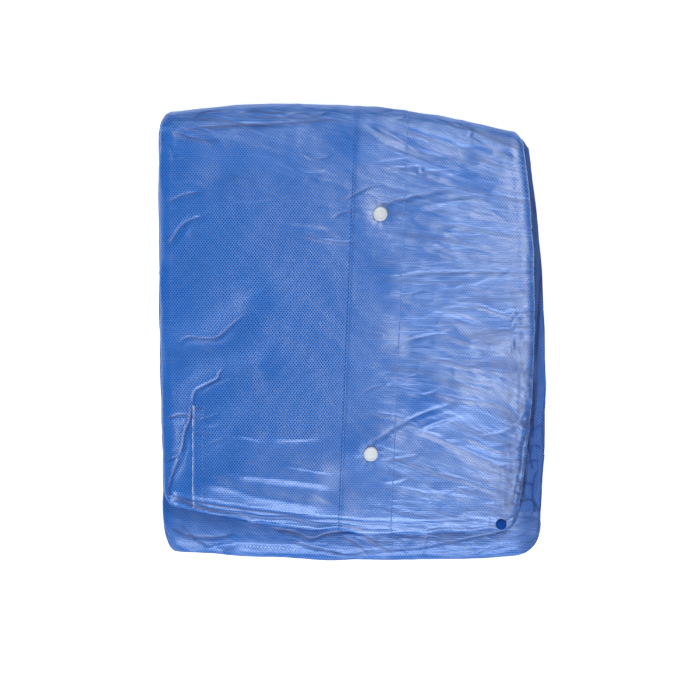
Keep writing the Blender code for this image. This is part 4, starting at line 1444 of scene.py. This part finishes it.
def fine_crease_relief_and_highlight(finish, u, v):
    """Crests as fine as threads where a noise drawn out along the cloth's pull passes its middle, as relief
    and as a painted highlight. They lie in patches on the right, along the far end and at the near rim."""
    aside = aside_of_pull(u, v)
    crests = 0.0
    for width, length, share in FINE_CREASES:
        swell = finish.drawn_out_noise(aside, u + LEAD * v, width, length)
        crests = crests + (1.0 - abs(swell - 0.5) * 9.0).at_least(0.0) ** 2.0 * share
    patches = finish.drawn_out_noise(aside, u, 0.014, 0.040).rise_between(0.38, 0.62)
    right = u.rise_between(0.000, 0.050)
    far = v.rise_between(0.150, 0.182)
    near = 1.0 - v.rise_between(-0.176, -0.160)
    where = (right + far + near * 0.8 + 0.12).at_most(1.0)
    return crests * (patches * 0.8 + 0.2) * where


def painted_long_streaks(finish, u, v):
    """Long narrow painted shades between the folds on the right, where a noise drawn out along the same
    pull is high, and pale bands of painted highlight beside them where it is low: a field for each."""
    swell = finish.drawn_out_noise(aside_of_pull(u, v), u + 2.0 * LEAD * v, 0.0075, 0.085, 2.0)
    right = u.rise_between(0.000, 0.045)
    return swell.rise_between(0.56, 0.62) * right, (1.0 - swell.rise_between(0.36, 0.42)) * right


def cloth_finish(name, marks=None, paint_low_shade=False, gloss=0.5, crumpled=1.0):
    """Point-bonded nonwoven: a felt of fine fibres in slightly uneven density, held by staggered rows
    of small pressed dots that are darker and smoother. Fine creases give relief and a painted highlight
    on their crests, and long painted shades and painted highlights lie on the right, as much as it is
    crumpled. The lines in its mesh, crease_shade_and_highlight, paint shade in troughs, which are
    rougher too, and highlight on ridges. marks adds stitches: it returns fields for the dark of them,
    the white of them, the dents and an edge that scatters light. Where the plies show, paint_low_shade
    paints shade, darker and rougher towards the floor and at the right rim. gloss is how strongly it
    mirrors."""
    finish = Finish(name)
    uv = finish.node("ShaderNodeUVMap", {}, uv_map="cloth").outputs["UV"]
    u, v = finish.parts(uv)[:2]
    dot = bond_dots(finish, uv, u, v)
    fibres = finish.noise(uv, 2600.0, 3.0, 0.6) - 0.5
    cloudy = finish.noise(uv, 260.0, 3.0, 0.6) - 0.5
    broad = finish.noise(uv, 18.0, 3.0, 0.5) - 0.5
    tone = cloudy * 0.9 + broad * 0.7 + fibres * 0.5 + 0.5
    colour = finish.mix(tone.at_least(0.0).at_most(1.0), CLOTH_BASE, CLOTH_LIGHT)
    colour = finish.mix(dot * DOT_DARK, colour, DOT_AND_PAINTED_SHADE)
    fine = fine_crease_relief_and_highlight(finish, u, v) * crumpled
    # Painted highlight on the fine crests
    colour = finish.mix((fine * FINE_PAINTED_HIGHLIGHT).at_most(FINE_PAINTED_HIGHLIGHT_MOST), colour, PAINTED_HIGHLIGHT_BLUE)
    # Long painted shades and painted highlights on the right
    shade, pale = painted_long_streaks(finish, u, v)
    colour = finish.mix(shade * (crumpled * LONG_PAINTED_SHADE), colour, PAINTED_SHADE_BLUE)
    colour = finish.mix(pale * (crumpled * LONG_PAINTED_HIGHLIGHT), colour, PAINTED_HIGHLIGHT_BLUE)
    height = 1.0 - dot + fibres * 0.15 + cloudy * 0.15 + fine * FINE_RELIEF
    rough = CLOTH_ROUGHNESS + fibres * 0.10 - dot * 0.06 + shade * LONG_ROUGH
    if marks is not None:
        dark, white, hole, scatter = marks(finish, u, v)
        colour = finish.mix(dark, colour, THREAD_DARK)
        colour = finish.mix(white, colour, WELT_WHITE)
        height = height - hole * HOLE_RELIEF
        rough = rough + scatter * SCATTER_ROUGH
    # The mesh's crease lines: painted shade in troughs, which are rougher too, and painted highlight on
    # ridges
    attribute = finish.node("ShaderNodeAttribute", {}, attribute_name="crease_shade_and_highlight")
    lines = Field(finish, attribute.outputs["Fac"])
    crevice = lines.at_least(0.0)
    ridge = (0.0 - lines).at_least(0.0)
    colour = finish.mix(crevice * CREVICE_PAINTED_SHADE, colour, PAINTED_SHADE_BLUE)
    colour = finish.mix(ridge * RIDGE_PAINTED_HIGHLIGHT, colour, PAINTED_HIGHLIGHT_BLUE)
    rough = rough + crevice * CREVICE_ROUGH
    if paint_low_shade:
        # Painted shade on the plies, darker and rougher towards the floor and at the right rim
        place = finish.node("ShaderNodeTexCoord", {}).outputs["Object"]
        x, _, z = finish.parts(place)
        low = (1.0 - z.rise_between(0.003, 0.0135)).at_least(x.rise_between(0.136, 0.150))
        colour = finish.mix(low * LOW_PAINTED_SHADE, colour, DOT_AND_PAINTED_SHADE)
        rough = rough + low * LOW_ROUGH
    finish.surface(colour, rough, height, BUMP_UNIT, BUMP_STRENGTH)
    finish.constants({"Sheen Weight": 0.10, "Sheen Roughness": 0.45, "Sheen Tint": SHEEN_TINT})
    finish.constants({"Specular IOR Level": gloss, "Specular Tint": SHINE_TINT})
    return finish.material


def stitches(offset, v, width, pitch):
    """Stitches along v at an offset from their line: the line, and the needle's holes at each pitch."""
    away = abs(offset)
    line = 1.0 - away.rise_between(width * 0.5, width)
    beat = ((v / pitch).fraction() - 0.5) * pitch
    hole = 1.0 - abs(beat).at_least(away).rise_between(0.0003, 0.0006)
    return line, hole


def placket_marks(finish, u, v):
    """The line of stitches down the placket, which leans with it, and its free edge."""
    middle = (STITCH_NEAR_X + STITCH_FAR_X) / 2.0 + PLACKET_WEAVE[0]
    lean = (STITCH_FAR_X - STITCH_NEAR_X) / TOP_LENGTH
    offset = u - middle - (v - STITCH_MIDDLE_Y) * lean
    line, hole = stitches(offset, v, 0.00065, 0.0030)
    dark = (line * 0.22 + hole * 0.30).at_most(1.0)
    free = PLACKET_WIDTH - STITCH_INSET
    edge = offset.rise_between(free - 0.0016, free - 0.0006)
    return dark, line * 0.0, line * 0.3 + hole * 0.6, edge


def welt_marks(finish, u, v):
    """The welt's outer edge, pale in patches along its roll, its stitches and the bar at its top."""
    across = u - (WELT_OUTER_X + WELT_WEAVE[0])
    edge = 1.0 - abs(across - 0.0007).rise_between(0.00015, 0.0005)
    patchy = finish.drawn_out_noise(u, v, 1.0, 0.0065).rise_between(0.30, 0.66)
    line, hole = stitches(across - 0.0098, v, 0.0005, 0.0032)
    bar = 1.0 - abs(v - (WELT_TOP_Y + WELT_WEAVE[1] - BAR_INSET)).rise_between(0.0003, 0.0007)
    dark = (line * 0.35 + hole * 0.5 + bar * 0.45).at_most(1.0)
    return dark, edge * (patchy * 0.70 + 0.15), hole + line * 0.4 + bar * 0.4, line * 0.0


def hem_marks(finish, u, v):
    """The hem's stitches on the lower fold, pale dots where the needle went, between the two places
    where their line comes into view and goes out of it."""
    offset = v - HEM_START[1] - (u - HEM_START[0]) * HEM_SLOPE
    shown = u.rise_between(HEM_START[0], HEM_START[0] + 0.004)
    shown = shown * (1.0 - u.rise_between(HEM_END_X - 0.004, HEM_END_X))
    line, hole = stitches(offset, u, 0.0006, 0.0031)
    return line * shown * 0.15, hole * shown * 0.6, hole * shown, line * 0.0


def snap_finish(name, colour, dark, roughness, gloss):
    """Moulded plastic with a faint grain and clouds of a darker tone."""
    finish = Finish(name)
    place = finish.node("ShaderNodeTexCoord", {}).outputs["Object"]
    spot = finish.noise(place, 900.0, 3.0)
    cloudy = finish.noise(place, 300.0, 2.0)
    mixed = finish.mix(cloudy.rise_between(0.3, 0.8), colour, dark)
    finish.surface(mixed, roughness + (spot - 0.5) * 0.15, spot + cloudy, GRAIN_UNIT, 0.5)
    finish.constants({"Specular IOR Level": gloss})
    return finish.material


SNAP_PROFILE = (
    # share of the radius, share of the height
    (0.90, -0.10),
    (0.965, 0.02),
    (0.995, 0.16),
    (1.00, 0.32),
    (0.99, 0.52),
    (0.96, 0.72),
    (0.915, 0.88),
    (0.86, 0.97),
    (0.81, 1.00),
    (0.765, 0.985),
    (0.735, 0.93),
    (0.71, 0.86),
    (0.66, 0.82),
    (0.50, 0.815),
    (0.30, 0.83),
    (0.20, 0.84),
    (0.16, 0.80),
    (0.10, 0.79),
    (0.02, 0.80),
)
SNAP_SIDES = 72
GRAIN_UNIT = 0.00005

# How many points of the cloth nearest a snap give its seat
SEAT_POINTS = 36


def seat_on(ground, place):
    """The point and the normal of a piece's upward cloth at a place: the mean of the nearest points,
    with the height of the plane through it."""
    points, normals = ground
    upward = normals[..., 2] > 0.3
    level, normal = points[upward], normals[upward]
    nearest = np.argsort(np.hypot(level[:, 0] - place[0], level[:, 1] - place[1]))[:SEAT_POINTS]
    level, normal = level[nearest].mean(0), normal[nearest].mean(0)
    normal /= np.linalg.norm(normal)
    lean = normal[0] * (place[0] - level[0]) + normal[1] * (place[1] - level[1])
    return np.array([place[0], place[1], level[2] - lean / normal[2]]), normal


def make_snap(name, node, place, ground, size, material):
    """A snap's cap: a turned disc with a rounded rim, a shallow dish and the mark of its mould. Each
    ring of the profile is a circle about the cloth's normal at the snap's place."""
    radius, height, lift = size
    centre, normal = seat_on(ground, place)
    across = np.cross([0.0, 1.0, 0.0], normal)
    across /= np.linalg.norm(across)
    along = np.cross(normal, across)
    profile = np.array(SNAP_PROFILE)
    angles = 2.0 * math.pi * np.arange(SNAP_SIDES) / SNAP_SIDES
    circle = np.cos(angles)[:, None] * across + np.sin(angles)[:, None] * along
    out = radius * profile[:, 0][:, None, None] * circle
    up = (height * profile[:, 1] + lift)[:, None, None] * normal
    vertices = (centre + out + up).reshape(-1, 3)
    ring, side = np.meshgrid(np.arange(len(profile) - 1), np.arange(SNAP_SIDES), indexing="ij")
    after = (side + 1) % SNAP_SIDES
    low, high = ring * SNAP_SIDES, (ring + 1) * SNAP_SIDES
    faces = np.stack([low + side, low + after, high + after, high + side], axis=-1).reshape(-1, 4).tolist()
    faces.append(list(range(len(vertices) - SNAP_SIDES, len(vertices))))
    faces.append(list(range(SNAP_SIDES))[::-1])
    mesh = bpy.data.meshes.new(name)
    mesh.from_pydata(vertices.tolist(), [], faces)
    mesh.shade_smooth()
    mesh.materials.append(material)
    obj = add_object(name, mesh)
    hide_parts(node)
    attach(obj, "root")


def finish_cloth(obj, material):
    """Gives a piece of cloth its material and its body."""
    obj.data.materials.append(material)
    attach(obj, "root")


cloth = cloth_finish("nonwoven")
plies_cloth = cloth_finish("nonwoven_plies", paint_low_shade=True, gloss=0.25, crumpled=0.2)
skirt_cloth = cloth_finish("nonwoven_skirt", hem_marks, paint_low_shade=True, gloss=0.32)
placket_cloth = cloth_finish("nonwoven_placket", placket_marks)
welt_cloth = cloth_finish("nonwoven_welt", welt_marks)
white_plastic = snap_finish("white_plastic", (0.43, 0.46, 0.50), (0.37, 0.40, 0.44), 0.5, 0.5)
blue_plastic = snap_finish("blue_plastic", (0.0, 0.036, 0.215), (0.0, 0.022, 0.140), 0.70, 0.04)

left_lines = (left_shoulder, lambda t: placket_left(t) + SEAM_LAP)
right_lines = (lambda t: placket_left(t) + 2 * SEAM_LAP, right_shoulder)
left_front, _ = make_front("front_left_cloth", left_lines, 1.0, 0.0, 0.150, "front_left")
right_front, right_ground = make_front("front_right_cloth", right_lines, 0.0, 1.0, 0.140, "front_right")
placket, placket_ground = make_placket()
welt = make_welt()
layers = make_layers()
skirt = make_skirt()
finish_cloth(left_front, cloth)
finish_cloth(right_front, cloth)
finish_cloth(placket, placket_cloth)
finish_cloth(welt, welt_cloth)
finish_cloth(layers, plies_cloth)
finish_cloth(skirt, skirt_cloth)

white_size = (SNAP_RADIUS, SNAP_HEIGHT, SNAP_LIFT)
blue_size = (SNAP_HEM_RADIUS, SNAP_HEM_HEIGHT, SNAP_HEM_LIFT)
make_snap("snap_upper_cap", "snap_upper", SNAP_UPPER, placket_ground, white_size, white_plastic)
make_snap("snap_lower_cap", "snap_lower", SNAP_LOWER, placket_ground, white_size, white_plastic)
make_snap("snap_hem_cap", "snap_hem", SNAP_HEM, right_ground, blue_size, blue_plastic)

# The stage: a pale floor that glows a little, as on a light table, two suns for the shading, soft
# boxes for the sheen alone, and the camera over the coat
PIXEL = 0.00085
FRAME_WIDTH = 700 * PIXEL
CAMERA_HEIGHT = 2.0
CAMERA_X = -0.0017
CAMERA_Y = -0.0149
CLOTH_LEVEL = 0.018
SENSOR = 36.0
SUNS = (
    # name, toward x, toward y, toward z, spread in degrees, strength, whether surfaces mirror it
    ("key", -0.40, -1.00, 0.70, 10.0, 3.9, False),
    ("fill", 0.45, 1.00, 0.85, 30.0, 2.3, True),
)
SOFTBOXES = (
    # name, x, y, z, width, depth, watts, colour
    ("right_softbox", 1.18, 0.00, 2.25, 1.20, 1.80, 80.0, (1.0, 0.85, 0.64)),
    ("far_strip", 0.85, 0.80, 2.20, 1.10, 0.28, 36.0, (1.0, 0.90, 0.80)),
    ("near_strip", 0.20, -2.20, 1.95, 1.70, 2.20, 200.0, (0.95, 0.95, 1.0)),
)
WORLD_COLOUR = (0.72, 0.86, 1.0, 1.0)
WORLD_STRENGTH = 0.25
FLOOR_TONE = (0.90, 0.90, 0.90)
FLOOR_GLOW = 0.45
FLOOR_HALF = 6.0


def add_lamp(name, kind):
    """A light, and its object in the scene."""
    light = bpy.data.lights.new(name, kind)
    return light, add_object(name, light)


def make_floor():
    """A wide pale square under the coat."""
    corners = [(-1, -1), (1, -1), (1, 1), (-1, 1)]
    mesh = bpy.data.meshes.new("floor")
    mesh.from_pydata([(FLOOR_HALF * x, FLOOR_HALF * y, 0.0) for x, y in corners], [], [(0, 1, 2, 3)])
    floor = add_object("floor", mesh)
    finish = Finish("pale_floor")
    finish.constants({"Base Color": FLOOR_TONE, "Roughness": 0.9})
    finish.constants({"Emission Color": (1.0, 1.0, 1.0), "Emission Strength": FLOOR_GLOW})
    mesh.materials.append(finish.material)


def make_stage():
    """The floor, the world, the lights and the camera."""
    make_floor()
    scene = bpy.context.scene
    world = bpy.data.worlds.new("studio")
    world.use_nodes = True
    background = world.node_tree.nodes["Background"]
    background.inputs["Color"].default_value = WORLD_COLOUR
    background.inputs["Strength"].default_value = WORLD_STRENGTH
    scene.world = world
    for name, x, y, z, spread, strength, mirrored in SUNS:
        light, lamp = add_lamp(name, "SUN")
        light.angle = math.radians(spread)
        light.energy = strength
        lamp.rotation_mode = "QUATERNION"
        lamp.rotation_quaternion = Vector((-x, -y, -z)).to_track_quat("-Z", "Y")
        lamp.visible_glossy = mirrored
    for name, x, y, z, width, depth, watts, colour in SOFTBOXES:
        light, lamp = add_lamp(name, "AREA")
        light.shape = "RECTANGLE"
        light.size = width
        light.size_y = depth
        light.energy = watts
        light.color = colour
        lamp.location = (x, y, z)
        lamp.visible_diffuse = False
    camera = bpy.data.cameras.new("camera")
    camera.sensor_width = SENSOR
    camera.lens = SENSOR * (CAMERA_HEIGHT - CLOTH_LEVEL) / FRAME_WIDTH
    scene.camera = add_object("camera", camera)
    scene.camera.location = (CAMERA_X, CAMERA_Y, CAMERA_HEIGHT)
    scene.view_settings.view_transform = "Standard"


make_stage()
